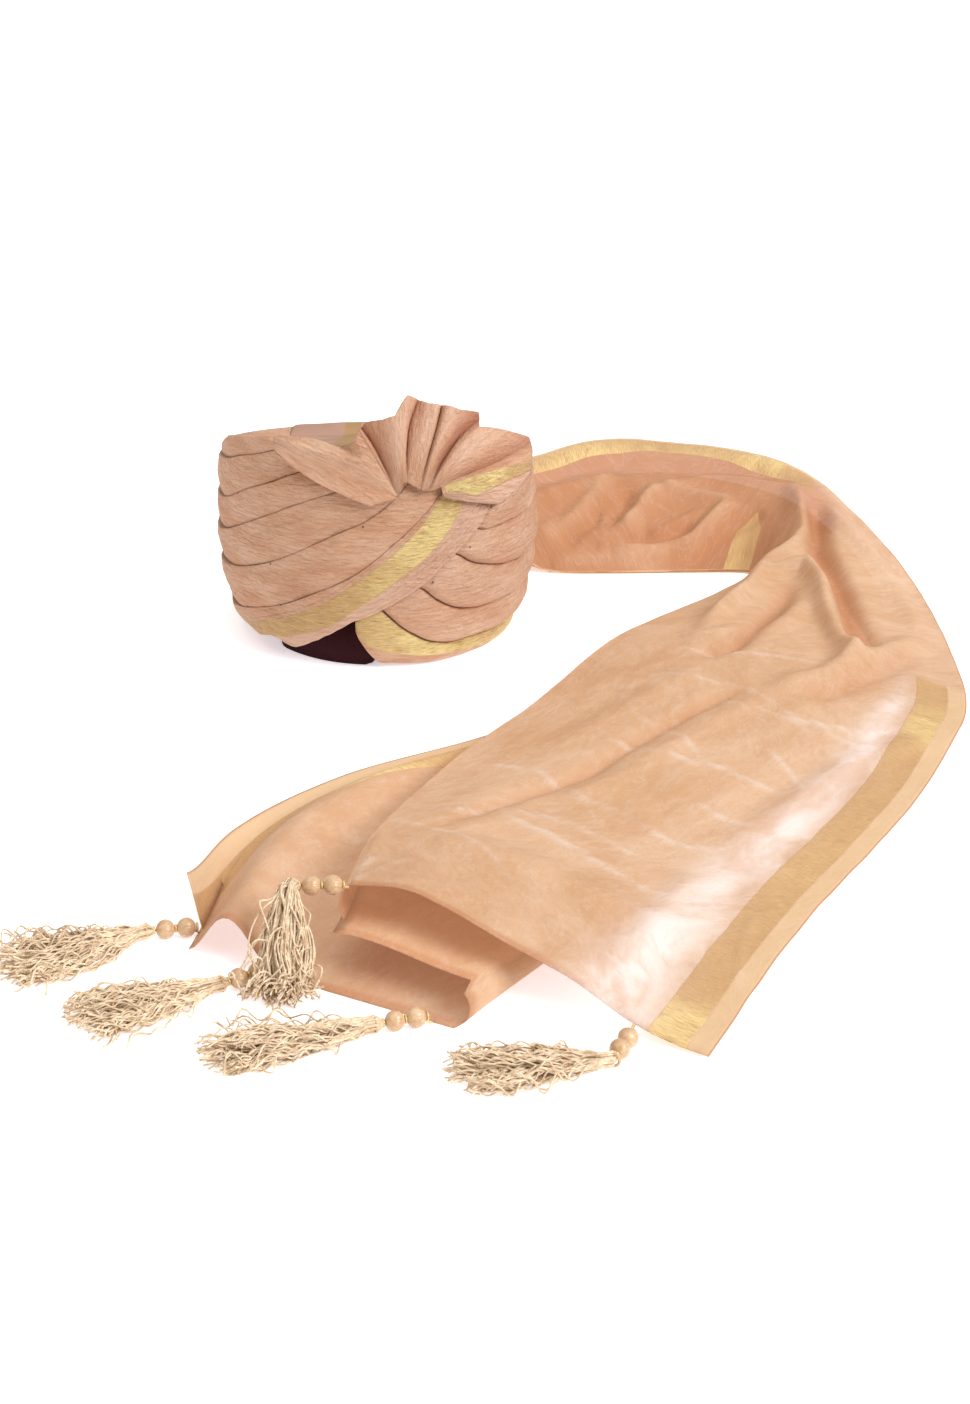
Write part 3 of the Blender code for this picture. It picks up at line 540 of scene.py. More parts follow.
class Maker:
    """A small hand for wiring one material's nodes."""

    def __init__(self, name, roughness, metallic=0.0, sheen=0.0, alpha=1.0, gloss=0.15):
        self.material = bpy.data.materials.new(name)
        self.material.use_nodes = True
        self.tree = self.material.node_tree
        self.shader = self.tree.nodes["Principled BSDF"]
        preset(self.shader, {
            "Roughness": roughness, "Metallic": metallic, "Sheen Weight": sheen,
            "Sheen Roughness": 0.4, "Alpha": alpha, "Specular IOR Level": gloss})

    def node(self, kind, **settings):
        """A new node, with its own settings."""
        made = self.tree.nodes.new(kind)
        for name, value in settings.items():
            setattr(made, name, value)
        return made

    def join(self, source, target):
        """A wire from one socket to another."""
        self.tree.links.new(source, target)

    def give(self, values, sockets):
        """Fill sockets in order, each with a number, a colour or a wire."""
        for value, socket in zip(values, sockets):
            if isinstance(value, tuple):
                socket.default_value = (*value, 1)
            elif isinstance(value, (int, float)):
                socket.default_value = value
            else:
                self.join(value, socket)

    def scaled(self, socket, scale):
        """A place stretched by a scale."""
        mapping = self.node("ShaderNodeMapping")
        preset(mapping, {"Scale": scale})
        self.join(socket, mapping.inputs["Vector"])
        return mapping.outputs["Vector"]

    def uv(self, scale):
        """The piece's own UV map, in metres, stretched by a scale."""
        return self.scaled(self.node("ShaderNodeUVMap", uv_map="UVMap").outputs["UV"], scale)

    def objects(self, scale):
        """Object coordinates stretched by a scale."""
        return self.scaled(self.node("ShaderNodeTexCoord").outputs["Object"], scale)

    def attribute(self, name):
        """The number that the piece's corners carry under a name."""
        return self.node("ShaderNodeAttribute", attribute_name=name).outputs["Fac"]

    def noise(self, vector, detail=3.0, roughness=0.55, distortion=0.0):
        """Noise from 0 to 1, one bump a unit."""
        made = self.node("ShaderNodeTexNoise")
        preset(made, {"Scale": 1.0, "Detail": detail, "Roughness": roughness,
                      "Distortion": distortion})
        self.join(vector, made.inputs["Vector"])
        return made.outputs["Fac"]

    def sum(self, kind, first, second, clamp=False):
        """A sum on two values, each a socket or a number."""
        made = self.node("ShaderNodeMath", operation=kind, use_clamp=clamp)
        self.give((first, second), made.inputs)
        return made.outputs["Value"]

    def times(self, first, second):
        """The product of two values."""
        return self.sum("MULTIPLY", first, second)

    def plus(self, first, second):
        """The sum of two values."""
        return self.sum("ADD", first, second)

    def weighted(self, *parts):
        """The sum of several values, each times its weight."""
        return functools.reduce(self.plus, [self.times(*part) for part in parts])

    def between(self, value, low, high, to_low=0.0, to_high=1.0):
        """A value taken from one range to another, with a smooth rise."""
        made = self.node("ShaderNodeMapRange", interpolation_type="SMOOTHSTEP")
        self.join(value, made.inputs["Value"])
        preset(made, {"From Min": low, "From Max": high, "To Min": to_low, "To Max": to_high})
        return made.outputs["Result"]

    def inside(self, value, low, high, edge):
        """1 where a value lies between two numbers."""
        return self.times(self.between(value, low - edge, low + edge),
                          self.between(value, high - edge, high + edge, 1.0, 0.0))

    def blend(self, share, first, second):
        """Two colours mixed by a share, each a socket or a colour."""
        made = self.node("ShaderNodeMix", data_type="RGBA")
        self.give((share, first, second), (made.inputs[0], made.inputs[6], made.inputs[7]))
        return made.outputs[2]

    def bump(self, height, strength, distance):
        """Relief from a height."""
        made = self.node("ShaderNodeBump")
        preset(made, {"Strength": strength, "Distance": distance})
        self.join(height, made.inputs["Height"])
        self.feed("Normal", made.outputs["Normal"])

    def tinted(self, shade, *tints):
        """A shade with tints over it: value, its range, how much of the tint, and its colour."""
        for *how_much, colour in tints:
            shade = self.blend(self.between(*how_much), shade, colour)
        return shade

    def feed(self, name, socket):
        """A wire to one of the surface's inputs."""
        self.join(socket, self.shader.inputs[name])

    def colour(self, socket):
        """The surface's colour."""
        self.feed("Base Color", socket)


ROSE = (0.56, 0.295, 0.17)
ROSE_LIGHT = (0.65, 0.405, 0.265)
ROSE_DEEP = (0.37, 0.155, 0.075)
ROSE_PALE = (0.68, 0.455, 0.335)
ROSE_SHADE = (0.33, 0.095, 0.04)
GOLD_BRIGHT = (0.80, 0.63, 0.27)
GOLD_WARM = (0.59, 0.36, 0.15)
GOLD_DULL = (0.46, 0.265, 0.12)
SHEER = (0.53, 0.315, 0.17)
SHEER_LIGHT = (0.61, 0.41, 0.255)
SHEER_DEEP = (0.43, 0.17, 0.07)
SHEER_PALE = (0.75, 0.70, 0.65)
# Painted glow: emission colour standing in for light that comes through the sheer layers
SHEER_GLOW = (0.72, 0.37, 0.20)
SELVEDGE = (0.66, 0.475, 0.27)
CROWN_DEEP = (0.37, 0.22, 0.155)
CROWN_LIGHT = (0.44, 0.275, 0.20)
CROWN_STRIPE = (0.36, 0.22, 0.10)
# Near-black lining colours: partly the cap's own dark cloth, partly painted shade of the hollow
LINING_AND_SHADE_DEEP = (0.022, 0.006, 0.008)
LINING_AND_SHADE_LIGHT = (0.05, 0.015, 0.017)
BEAD_LIGHT = (0.66, 0.44, 0.25)
BEAD_DEEP = (0.48, 0.28, 0.13)
YARN_LIGHT = (0.88, 0.71, 0.50)
YARN_DEEP = (0.56, 0.39, 0.23)
STITCH_LIGHT = (0.20, 0.09, 0.06)
STITCH_DEEP = (0.12, 0.05, 0.03)
PAPER_DEEP = (0.92, 0.915, 0.925)
PAPER_LIGHT = (0.94, 0.935, 0.94)
PAPER_GLOW = (0.94, 0.93, 1.0)
# How far a gold stripe's edge blurs (share of its width)
STRIPE_BLUR = 0.05


def crepe(maker):
    """Colour and relief of the rose cloth: slub threads along the band over a crepe ground."""
    slub = maker.noise(maker.uv((80, 800, 1)), 4.0, 0.65, 0.5)
    ground = maker.noise(maker.uv((500, 800, 1)), 2.0, 0.6)
    crinkle = maker.noise(maker.uv((95, 380, 1)), 4.0, 0.62, 0.8)
    cloudy = maker.noise(maker.uv((18, 60, 1)), 3.0, 0.5)
    # The crinkle's hollows are tinted deeper and its crests paler: mottled crepe tone that doubles
    # as painted shade and highlight of the relief
    shade = maker.tinted(
        ROSE, (cloudy, 0.3, 0.72, ROSE_LIGHT), (slub, 0.5, 0.78, 0.0, 0.4, ROSE_DEEP),
        (ground, 0.5, 0.85, 0.0, 0.3, ROSE_LIGHT), (crinkle, 0.35, 0.5, 0.18, 0.0, ROSE_DEEP),
        (crinkle, 0.52, 0.72, 0.0, 0.3, ROSE_PALE))
    return shade, maker.weighted((slub, 0.7), (ground, 0.4), (crinkle, 2.2))


def rose_cloth():
    """Matt crepe of the wound bands and the fan."""
    maker = Maker("rose_cloth", 0.7, sheen=0.04)
    shade, height = crepe(maker)
    # The selvedge's own pale colour, and painted highlight on the front where the key light falls
    maker.colour(maker.blend(maker.times(maker.attribute("selvedge_and_painted_highlight"), 0.6), shade, ROSE_PALE))
    maker.bump(height, 0.9, 0.0018)
    return maker.material


def zari(maker, shine):
    """Colour and relief of the woven gold stripe, where shine says how it catches the light."""
    thread = maker.noise(maker.uv((110, 1300, 1)), 2.0, 0.6)
    patch = maker.noise(maker.uv((30, 60, 1)), 2.0, 0.5)
    gold = maker.tinted(GOLD_DULL, (thread, 0.2, 0.8, GOLD_WARM))
    lit = maker.times(maker.between(maker.plus(thread, maker.times(patch, 0.6)), 0.5, 1.0), shine)
    gold = maker.blend(maker.sum("MULTIPLY", lit, 1.25, True), gold, GOLD_BRIGHT)
    return gold, thread


def bordered_cloth():
    """Rose crepe with the gold stripe where the strip attribute is from 0 to 1."""
    maker = Maker("bordered_cloth", 0.68, sheen=0.04)
    shade, height = crepe(maker)
    strip = maker.attribute("strip")
    inside = maker.inside(strip, 0.0, 1.0, STRIPE_BLUR)
    # The selvedge's own pale colour below the gold stripe, and painted highlight on lit parts and
    # the fan's pleat ridges
    shade = maker.blend(maker.times(maker.attribute("selvedge_and_painted_highlight"), 0.45), shade, ROSE_PALE)
    # Painted shade in the fan's pleat valleys
    shade = maker.blend(maker.times(maker.attribute("deep"), 0.85), shade, ROSE_SHADE)
    gold, thread = zari(maker, maker.attribute("shine"))
    maker.colour(maker.blend(inside, shade, gold))
    maker.feed("Metallic", maker.times(inside, 0.3))
    maker.feed("Roughness", maker.between(inside, 0.0, 1.0, 0.62, 0.42))
    maker.bump(maker.plus(height, maker.times(thread, inside)), 0.9, 0.0018)
    return maker.material


def crown_cloth():
    """The thinner greyish rose cloth of the crown, with its stripe from front to back."""
    maker = Maker("crown_cloth", 0.85)
    weave = maker.noise(maker.objects((900, 300, 900)), 3.0, 0.6)
    cloudy = maker.noise(maker.objects((25, 25, 25)), 2.0, 0.5)
    shade = maker.tinted(CROWN_DEEP, (cloudy, 0.3, 0.7, CROWN_LIGHT))
    strip = maker.inside(maker.attribute("strip"), 0.0, 1.0, STRIPE_BLUR)
    maker.colour(maker.blend(strip, shade, CROWN_STRIPE))
    maker.bump(weave, 0.35, 0.0006)
    return maker.material


def lining_and_painted_hollow_shade():
    """Near-black lining inside the head hollow: partly the cap's own dark cloth, partly painted
    shade of the hollow.
    """
    maker = Maker("lining_and_painted_hollow_shade", 0.9, gloss=0.05)
    weave = maker.noise(maker.objects((800, 800, 800)), 3.0, 0.6)
    maker.colour(maker.blend(weave, LINING_AND_SHADE_DEEP, LINING_AND_SHADE_LIGHT))
    maker.bump(weave, 0.3, 0.0004)
    return maker.material


def tail_cloth():
    """Sheer crinkled cloth of the tail, with a gold stripe inside each long selvedge."""
    maker = Maker("tail_cloth", 0.6, sheen=0.03, alpha=0.45)
    weave = maker.noise(maker.uv((900, 900, 1)), 2.0, 0.6)
    cloudy = maker.noise(maker.uv((16, 12, 1)), 5.0, 0.62, 0.8)
    crinkle = maker.noise(maker.uv((46, 34, 1)), 5.0, 0.6, 0.7)
    vein = maker.between(maker.sum("ABSOLUTE", maker.sum("SUBTRACT", crinkle, 0.5), 0),
                         0.0, 0.025, 1.0, 0.0)
    crease, single_layer_painted_sheen = maker.attribute("crease"), maker.attribute("single_layer_painted_sheen")
    fine = maker.noise(maker.uv((150, 110, 1)), 4.0, 0.65, 0.4)
    shade = maker.tinted(
        SHEER, (cloudy, 0.32, 0.68, SHEER_LIGHT), (weave, 0.48, 0.8, 0.0, 0.3, SHEER_DEEP),
        (fine, 0.36, 0.5, 0.1, 0.0, SHEER_DEEP), (fine, 0.5, 0.68, 0.0, 0.08, SHEER_PALE))
    # Painted shade in the fold valleys and over the back part, lighter on its raised folds; also
    # the rolled hem's own darker edge
    shade = maker.blend(maker.attribute("deep"), shade, SHEER_DEEP)
    # Painted sheen: a pale band on the single layer beside the border
    streaks = maker.weighted((cloudy, 0.55), (crinkle, 0.45))
    sheen_band = maker.times(single_layer_painted_sheen, maker.between(streaks, 0.38, 0.62, 0.2, 0.95))
    shade = maker.blend(sheen_band, shade, SHEER_PALE)
    shade = maker.blend(maker.times(vein, 0.1), shade, SHEER_PALE)
    # Painted highlight along the pressed creases, in uneven strength
    crease_highlight_share = maker.between(cloudy, 0.35, 0.65, 0.08, 0.42)
    shade = maker.blend(maker.times(crease, crease_highlight_share), shade, SHEER_PALE)
    border = maker.attribute("border")
    inside = maker.inside(border, BORDER_FROM, BORDER_TO, 0.5)
    shown = maker.sum("SUBTRACT", 1.0, maker.attribute("hidden"))
    inside = maker.times(inside, shown)
    bend = maker.between(maker.attribute("bend"), 0.95, 1.05, 1.0, 0.0)
    inside = maker.sum("MAXIMUM", inside, bend)
    outside = maker.between(border, BORDER_FROM - 1, BORDER_FROM, 1.0, 0.0)
    shade = maker.blend(maker.times(maker.times(outside, shown), 0.75), shade, SELVEDGE)
    gold, thread = zari(maker, maker.attribute("shine"))
    shade = maker.tinted(shade, (border, 0.6, 1.8, 0.75, 0.0, SHEER_DEEP))
    maker.colour(maker.blend(maker.times(inside, 0.85), shade, gold))
    maker.feed("Metallic", maker.times(inside, 0.25))
    cover = maker.sum("SUBTRACT", 0.8, maker.times(single_layer_painted_sheen, 0.3))
    maker.feed("Alpha", maker.plus(cover, maker.times(inside, 0.1)))
    # Painted glow: the cloth emits light, standing in for light that comes through the sheer layers
    preset(maker.shader, {"Emission Color": (*SHEER_GLOW, 1)})
    maker.feed("Emission Strength", maker.attribute("glow"))
    maker.material.cycles.emission_sampling = "NONE"
    relief = maker.weighted((weave, 0.35), (crinkle, 2.0), (fine, 1.1), (thread, inside))
    maker.bump(relief, 0.65, 0.0013)
    return maker.material


def yarn(name, light, deep, roughness=0.7, gloss=0.15):
    """Soft spun yarn."""
    maker = Maker(name, roughness, sheen=0.3, gloss=gloss)
    fibre = maker.noise(maker.objects((500, 500, 500)), 3.0, 0.6)
    lock = maker.noise(maker.objects((120, 120, 120)), 2.0, 0.6)
    tone = maker.between(maker.weighted((fibre, 0.5), (lock, 0.5)), 0.35, 0.65)
    maker.colour(maker.blend(tone, deep, light))
    maker.bump(fibre, 0.3, 0.0003)
    return maker.material


def gold_thread():
    """Tight metallic thread of the cord and rings."""
    maker = Maker("gold_thread", 0.35, metallic=0.5, gloss=0.5)
    twist = maker.noise(maker.objects((900, 900, 900)), 2.0, 0.6)
    maker.colour(maker.blend(twist, GOLD_WARM, GOLD_BRIGHT))
    maker.bump(twist, 0.4, 0.0003)
    return maker.material


def floor_paper():
    """Pale studio paper."""
    maker = Maker("floor_paper", 0.9)
    cloudy = maker.noise(maker.objects((3, 3, 3)), 2.0, 0.5)
    maker.colour(maker.blend(cloudy, PAPER_DEEP, PAPER_LIGHT))
    preset(maker.shader, {"Emission Color": (*PAPER_GLOW, 1), "Emission Strength": 0.5})
    return maker.material


# Ring of wound bands

@functools.lru_cache(maxsize=None)
def rim_height(angle):
    """Top of the ring: it stands highest at the front and falls to the back."""
    return RIM_HEIGHT - RIM_TILT * math.sin(math.radians(angle))


@functools.lru_cache(maxsize=None)
def lip_height(angle):
    """How far the rim's outer lip stands above the ring's plain form."""
    return smooth(LIP, angle % 360) * MM


def rim_top(angle, depth):
    """Height of the ring's rounded top between its inner wall and its outer face."""
    outward = max(depth, 0)
    return (rim_height(angle) - RIM_DROP_INSIDE * (1 - depth) ** 4
            - RIM_DROP_OUTSIDE * outward ** 3 + lip_height(angle) * outward ** 1.5)


def drawn_in(angle):
    """How far (m) the bands are drawn in at the two sides of the head."""
    around = (angle + 90) % 360 - 90
    return (6.5 * hump(around, 183, 33) + 6.0 * hump(around, -4, 32)) * MM


def outer_radius(height):
    """Half width of the wound ring at a height."""
    return smooth(RING_PROFILE, height / MM) * MM


def ring_point(angle, height, depth, proud=0.0):
    """A point of the wound ring: depth 0 is its inner wall and depth 1 its outer face."""
    turn = math.radians(angle)
    radius = outer_radius(height) + proud
    across = INNER_HALF_WIDTH + (radius - INNER_HALF_WIDTH) * depth
    along = INNER_HALF_LENGTH + (radius * RING_LENGTH_TO_WIDTH - INNER_HALF_LENGTH) * depth
    return Vector((across * math.cos(turn), along * math.sin(turn), height))


@functools.lru_cache(maxsize=None)
def wrap_span(level, angle):
    """Lowest and highest height of one wrap at an angle."""
    low = max(smooth(HEM, angle), 0) * MM
    if level > 0:
        low = smooth(WRAP_LINES[level - 1], angle) * MM + BAND_GAP / 2
    elif angle > 264:
        low += BAND_GAP / 2
    high = rim_height(angle) + lip_height(angle) + BAND_GAP
    if level < len(WRAP_LINES):
        high = min(high, smooth(WRAP_LINES[level], angle) * MM - BAND_GAP / 2)
    if angle < -20:
        high = min(high, smooth(HEM, angle + 360) * MM - BAND_GAP / 2)
    return low, max(high, low + 0.5 * MM)


def rolled(distance, radius, depth):
    """How far an edge rolls in at a distance from it."""
    if distance >= radius:
        return 0.0
    t = 1 - distance / radius
    return -depth * (1 - math.sqrt(max(1 - t * t, 0)))


def wrap_face(level, angle, low, high, share, height):
    """How far (m) a band's outer face stands out from the ring's plain form."""
    tall = (high - low) / MM
    left = ramp(80, 170, angle)
    right = 1 - left
    front = ramp(200, 235, angle)
    top = (2.2 - 1.1 * front) * left - 1.2 * right
    foot = (-0.8 + 0.6 * front) * left + 2.4 * right
    if level == 0:
        foot += 3.0 * ramp(225, 262, angle)
    belly = 1.4 * left + 4.6 * right
    under_edge = 1.0 - 0.9 * (1 - ramp(-92, -50, angle))
    stands = top * share + foot * (1 - share) + belly * 4 * share * (1 - share)
    limit = MOST_PROUD / MM + 2.6 * right * (1 - ramp(98, 118, height / MM))
    stands = min(stands * under_edge * ramp(0, 20, tall), limit)
    to_foot, to_top = share * tall, (1 - share) * tall
    free_edge = 1.2 if level == 0 else 0.65 * left + 8.0 * right
    stands += rolled(to_foot, free_edge, free_edge * (0.8 if level == 0 else 0.72))
    at_rim = high > rim_top(angle, 1) - 0.5 * MM
    fold = 7.0 if at_rim else 1.15 * left + 2.6 * right
    fold *= 0.85 + 0.75 * noise.noise(Vector((angle / 24, level * 7.3, 1)))
    stands += rolled(to_top, min(fold, tall * 0.6), fold * 0.75)
    for share_of_crease, depth in BAND_CREASES:
        drift = 0.06 * noise.noise(Vector((angle / 60, level * 3.1 + share_of_crease * 9, 0)))
        fades = ramp(-0.1, 0.35, noise.noise(Vector((angle / 45, level * 5.7, depth * 20))))
        off = (share - share_of_crease - drift) * tall
        stands -= depth * fades * ramp(12, 26, tall) * hump(off, 0, 1.3)
    for deep, stretch, squeeze, aside, size in BAND_RIPPLES:
        stands += deep * ripple(angle * ONE_DEGREE * stretch, height / MM * squeeze,
                                level * 40 + aside, size)
    if level == 0:
        from_edge = (height - low) / MM
        gathered = ramp(255, 285, angle)
        for line in GATHERED_LINES:
            stands -= 1.8 * gathered * hump(from_edge, line + 1.5 * gathered, 1.25)
        above_strip = height / MM - smooth(STRIP_TOP, angle)
        lit = ramp(212, 232, angle)
        stands -= 0.8 * lit * hump(above_strip, 4, 0.8)
        stands -= 0.5 * lit * hump(above_strip, 10, 0.8)
    return stands * MM - drawn_in(angle)


def hem_ruffle(angle):
    """How the lowest edge waves (m) where it hangs free at the wearer's right front."""
    free = ramp(196, 212, angle) * (1 - ramp(258, 268, angle))
    return free * (1.7 * math.sin(angle * 0.335) + 1.4 * ripple(angle, 0, 4, 3.4)) * MM


def wrap_band(level, cloth):
    """One turn of the winding, with rolled edges and pressed folds."""
    start, end = WRAP_ENDS[level]
    steps = int((end - start) * 1.2)
    face_steps = 60 if level == 0 else 36
    section = [(0, 1.0), (0, 0.5), (0, 0.0), (0.5, 0.0), (0.85, 0.0)]
    section += [(1, i / face_steps) for i in range(face_steps + 1)]
    section += [(0.93, 1.0), (0.8, 1.0), (0.6, 1.0), (0.4, 1.0), (0.2, 1.0), (0, 1.0)]
    marks = {"strip": [], "shine": [], "selvedge_and_painted_highlight": []}

    def place(u, v):
        angle = round(start + (end - start) * u, 3)
        depth, share = section[round(v * (len(section) - 1))]
        low, high = wrap_span(level, angle)
        if level == 0:
            low = low + hem_ruffle(angle)
        top = min(high, rim_top(angle, depth))
        low = min(low, top - 0.3 * MM)
        height = low + (top - low) * share
        proud = wrap_face(level, angle, low, top, share, height) if depth > 0.8 else 0.0
        foot, head = smooth(STRIP_FOOT, angle), smooth(STRIP_TOP, angle)
        marks["strip"].append((height / MM - foot) / (head - foot) if depth == 1 else OFF_STRIP)
        # Painted highlight on the gold stripe, strongest at the front
        base = 0.25 + 0.6 * hump(angle, -72, 16) + 0.3 * hump(angle, -30, 30)
        marks["shine"].append(base if angle < 200 else 0.12 + 0.95 * hump(angle, 290, 17))
        below_strip = foot - height / MM
        # Painted highlight on the front where the key light falls; below the gold stripe, the
        # selvedge's own paler colour
        lit = 0.75 * hump(angle, -72, 26) * ramp(45, 95, height / MM)
        marks["selvedge_and_painted_highlight"].append(lit + ramp(0, 1, below_strip) * ramp(215, 250, angle))
        return (ring_point(angle, height, depth, proud * ramp(0.8, 1, depth)),
                (angle * ONE_DEGREE * MM, height + (1 - depth) * 0.05))

    band = cloth_grid(f"wound_band_{level + 1}", steps, len(section) - 1, place)
    write_attributes(band, **marks)
    close_tube(band)
    return seat(band, cloth, "bordered_cloth" if level == 0 else "rose_cloth",
                f"wrap_{level + 1}")


def hand_stitch(number, angle, height, cloth):
    """A small stitch that catches two bands together."""
    centre = ring_point(angle, height * MM, 1, STITCH_PROUD)
    turned = Vector((centre.x, centre.y, 0)).normalized().to_track_quat("X", "Z")
    stitch = started(bpy.ops.mesh.primitive_uv_sphere_add, f"hand_stitch_{number}", segments=12,
                     ring_count=8, radius=STITCH_RADIUS)
    flat, tall = STITCH_STRETCH
    move_corners(stitch, lambda corner: turned @ Vector(
        (corner.x * flat, corner.y, corner.z * tall)) + centre)
    return seat(stitch, cloth, "rose_cloth")


def crown_surface(x, y, turn, out):
    """Height of the crown cloth at a place, out being 1 at its edge."""
    rounding = CROWN_ROUNDING * (1 - ramp(0, 0.06, 1 - out))
    height = (RIM_HEIGHT - RIM_TILT * math.sin(turn) * out - CROWN_BELOW_RIM - rounding
              + CROWN_DOME * (1 - out ** 2))
    soft = ripple(x * 1000, y * 350, 0, 24) * 1.6 + ripple(x * 1000, y * 1000, 5, 60) * 2.0
    return height + soft * MM * ramp(0, 0.15, 1 - out)


def crown(cloth, lining):
    """The crown cloth and the cap's wall, lined inside."""
    wall_steps, all_steps = 12, 42
    strip = []

    def place(u, v):
        turn = math.tau * u
        edge = RIM_HEIGHT - RIM_TILT * math.sin(turn) - CROWN_BELOW_RIM - CROWN_ROUNDING
        row = v * all_steps
        out = 1.0 if row <= wall_steps else 1 - (row - wall_steps) / (all_steps - wall_steps)
        x = (HEAD_HALF_WIDTH + CAP_CLOTH) * out * math.cos(turn)
        y = (HEAD_HALF_LENGTH + CAP_CLOTH) * out * math.sin(turn)
        if row <= wall_steps:
            height = CAP_ABOVE_FLOOR + (edge - CAP_ABOVE_FLOOR) * row / wall_steps
            angle = math.degrees(turn)
            # Behind the arch the wall hangs forward and lower, so its near-black lining stands
            # where the hollow's shadow falls on the floor: painted shade
            behind_arch = ramp(203, 225, angle) * (1 - ramp(268, 275, angle))
            push = ARCH_SHADE_WALL_FORWARD * behind_arch * (1 - ramp(20, 50, height / MM))
            height -= ARCH_SHADE_WALL_LOWER * behind_arch * (row == 0)
            x, y = x + push * math.cos(turn), y + push * math.sin(turn)
        else:
            height = crown_surface(x, y, turn, out)
        low, high = DRAPE_STRIPE
        strip.append((x / MM - low) / (high - low) if row > wall_steps else OFF_STRIP)
        return Vector((x, y, height)), (x, y)

    cap = cloth_grid("crown_cloth", 120, all_steps, place)
    write_attributes(cap, strip=strip)
    close_tube(cap)
    cap.data.materials.append(cloth)
    cap.data.materials.append(lining)
    for face in cap.data.polygons:
        rise = RIM_HEIGHT - RIM_TILT * math.sin(math.atan2(face.center.y, face.center.x))
        face.material_index = int(face.center.z < rise - CROWN_BELOW_RIM - LINING_BELOW_CROWN)
    return cap


def crown_drape(cloth):
    """The crown cloth drawn over the back of the rim and tucked down outside."""
    strip = []

    def place(u, v):
        x = (DRAPE_LEFT + (DRAPE_RIGHT - DRAPE_LEFT) * u) * MM
        side = math.acos(max(min(x / INNER_HALF_WIDTH, 1), -1))
        lift = (1.3 + 0.7 * ripple(x / MM, v * 60, 2, 22)) * MM
        if v < DRAPE_ON_CROWN:
            edge_y = (INNER_HALF_LENGTH - 3 * MM) * math.sin(side)
            y = edge_y * (-0.97 + 1.97 * v / DRAPE_ON_CROWN)
            over, back = x / INNER_HALF_WIDTH, y / INNER_HALF_LENGTH
            out = min(math.hypot(over, back), 0.97)
            spot = Vector((x, y, crown_surface(x, y, math.atan2(back, over), out) + lift))
            spot.z += ramp(0.3, DRAPE_ON_CROWN, v) * 7 * MM
        else:
            depth = min((v - DRAPE_ON_CROWN) / (DRAPE_OVER_RIM - DRAPE_ON_CROWN), 1.0)
            down = max(v - DRAPE_OVER_RIM, 0) / (1 - DRAPE_OVER_RIM)
            radius = outer_radius(RIM_HEIGHT - RIM_TILT)
            across = INNER_HALF_WIDTH + (radius - INNER_HALF_WIDTH) * depth
            angle = math.degrees(math.acos(max(min(x / across, 1), -1)))
            top = rim_top(angle, depth) + lift
            spot = ring_point(angle, top, depth, 2.6 * MM * depth)
            spot.x = x
            spot.z = top - 2.0 * MM * depth ** 6 - DRAPE_END * down
            spot.y += (2.8 * math.sin(math.pi / 2 * min(down * 2.5, 1)) + 2.2 * down) * MM
        edge = max(1 - u / 0.03, (u - 0.97) / 0.03, 0)
        spot.z -= 1.6 * MM * edge ** 2
        low, high = DRAPE_STRIPE
        strip.append((x / MM - low) / (high - low))
        return spot, (x, v * 0.16)

    drape = cloth_grid("crown_drape", 90, 90, place)
    write_attributes(drape, strip=strip)
    give_thickness(drape, DRAPE_CLOTH)
    return seat(drape, cloth, "crown_cloth")


# Fan

def fan_point(direction, reach, forward, ring):
    """A point of the fan's front face, wrapped round the front of the ring."""
    turn = math.radians(direction)
    root = (1 - ring) ** 1.6 * MM
    x = KNOT_X + ring * reach * math.cos(turn) + smooth(FAN_ROOT_ASIDE, direction) * root
    seen_lower = FAN_SEEN_LOWER * (forward - FAN_EVEN * ring)
    rise = (ring * reach * math.sin(turn) + seen_lower * ramp(20, 45, direction)
            + smooth(FAN_ROOT_ABOVE, direction) * root)

    def depth_at(height):
        radius = outer_radius(height) + MOST_PROUD + FAN_GAP + FAN_CLOTH
        return -RING_LENGTH_TO_WIDTH * math.sqrt(max(radius ** 2 - x ** 2, FAN_LEAST_DEPTH ** 2))

    at_knot = -RING_LENGTH_TO_WIDTH * outer_radius(KNOT_HEIGHT)
    height = KNOT_HEIGHT + rise
    for _ in range(3):
        height = KNOT_HEIGHT + rise - FAN_LEAN * (depth_at(height) - at_knot)
    return Vector((x, depth_at(height) - forward, height))


def over_rim(spot, share):
    """Bend a point of the fan's left lobe in over the rim's rounded top."""
    angle = math.degrees(math.atan2(spot.y / RING_LENGTH_TO_WIDTH, spot.x)) % 360
    excess = max(spot.z - (rim_top(angle, 1) + LOBE_BENDS_FROM), 0) * share
    soft = LOBE_MOST_RISE * (1 - math.exp(-excess / LOBE_SOFT))
    spot.z += soft - excess
    spot.y += (excess - soft) * LOBE_BACK
    return spot


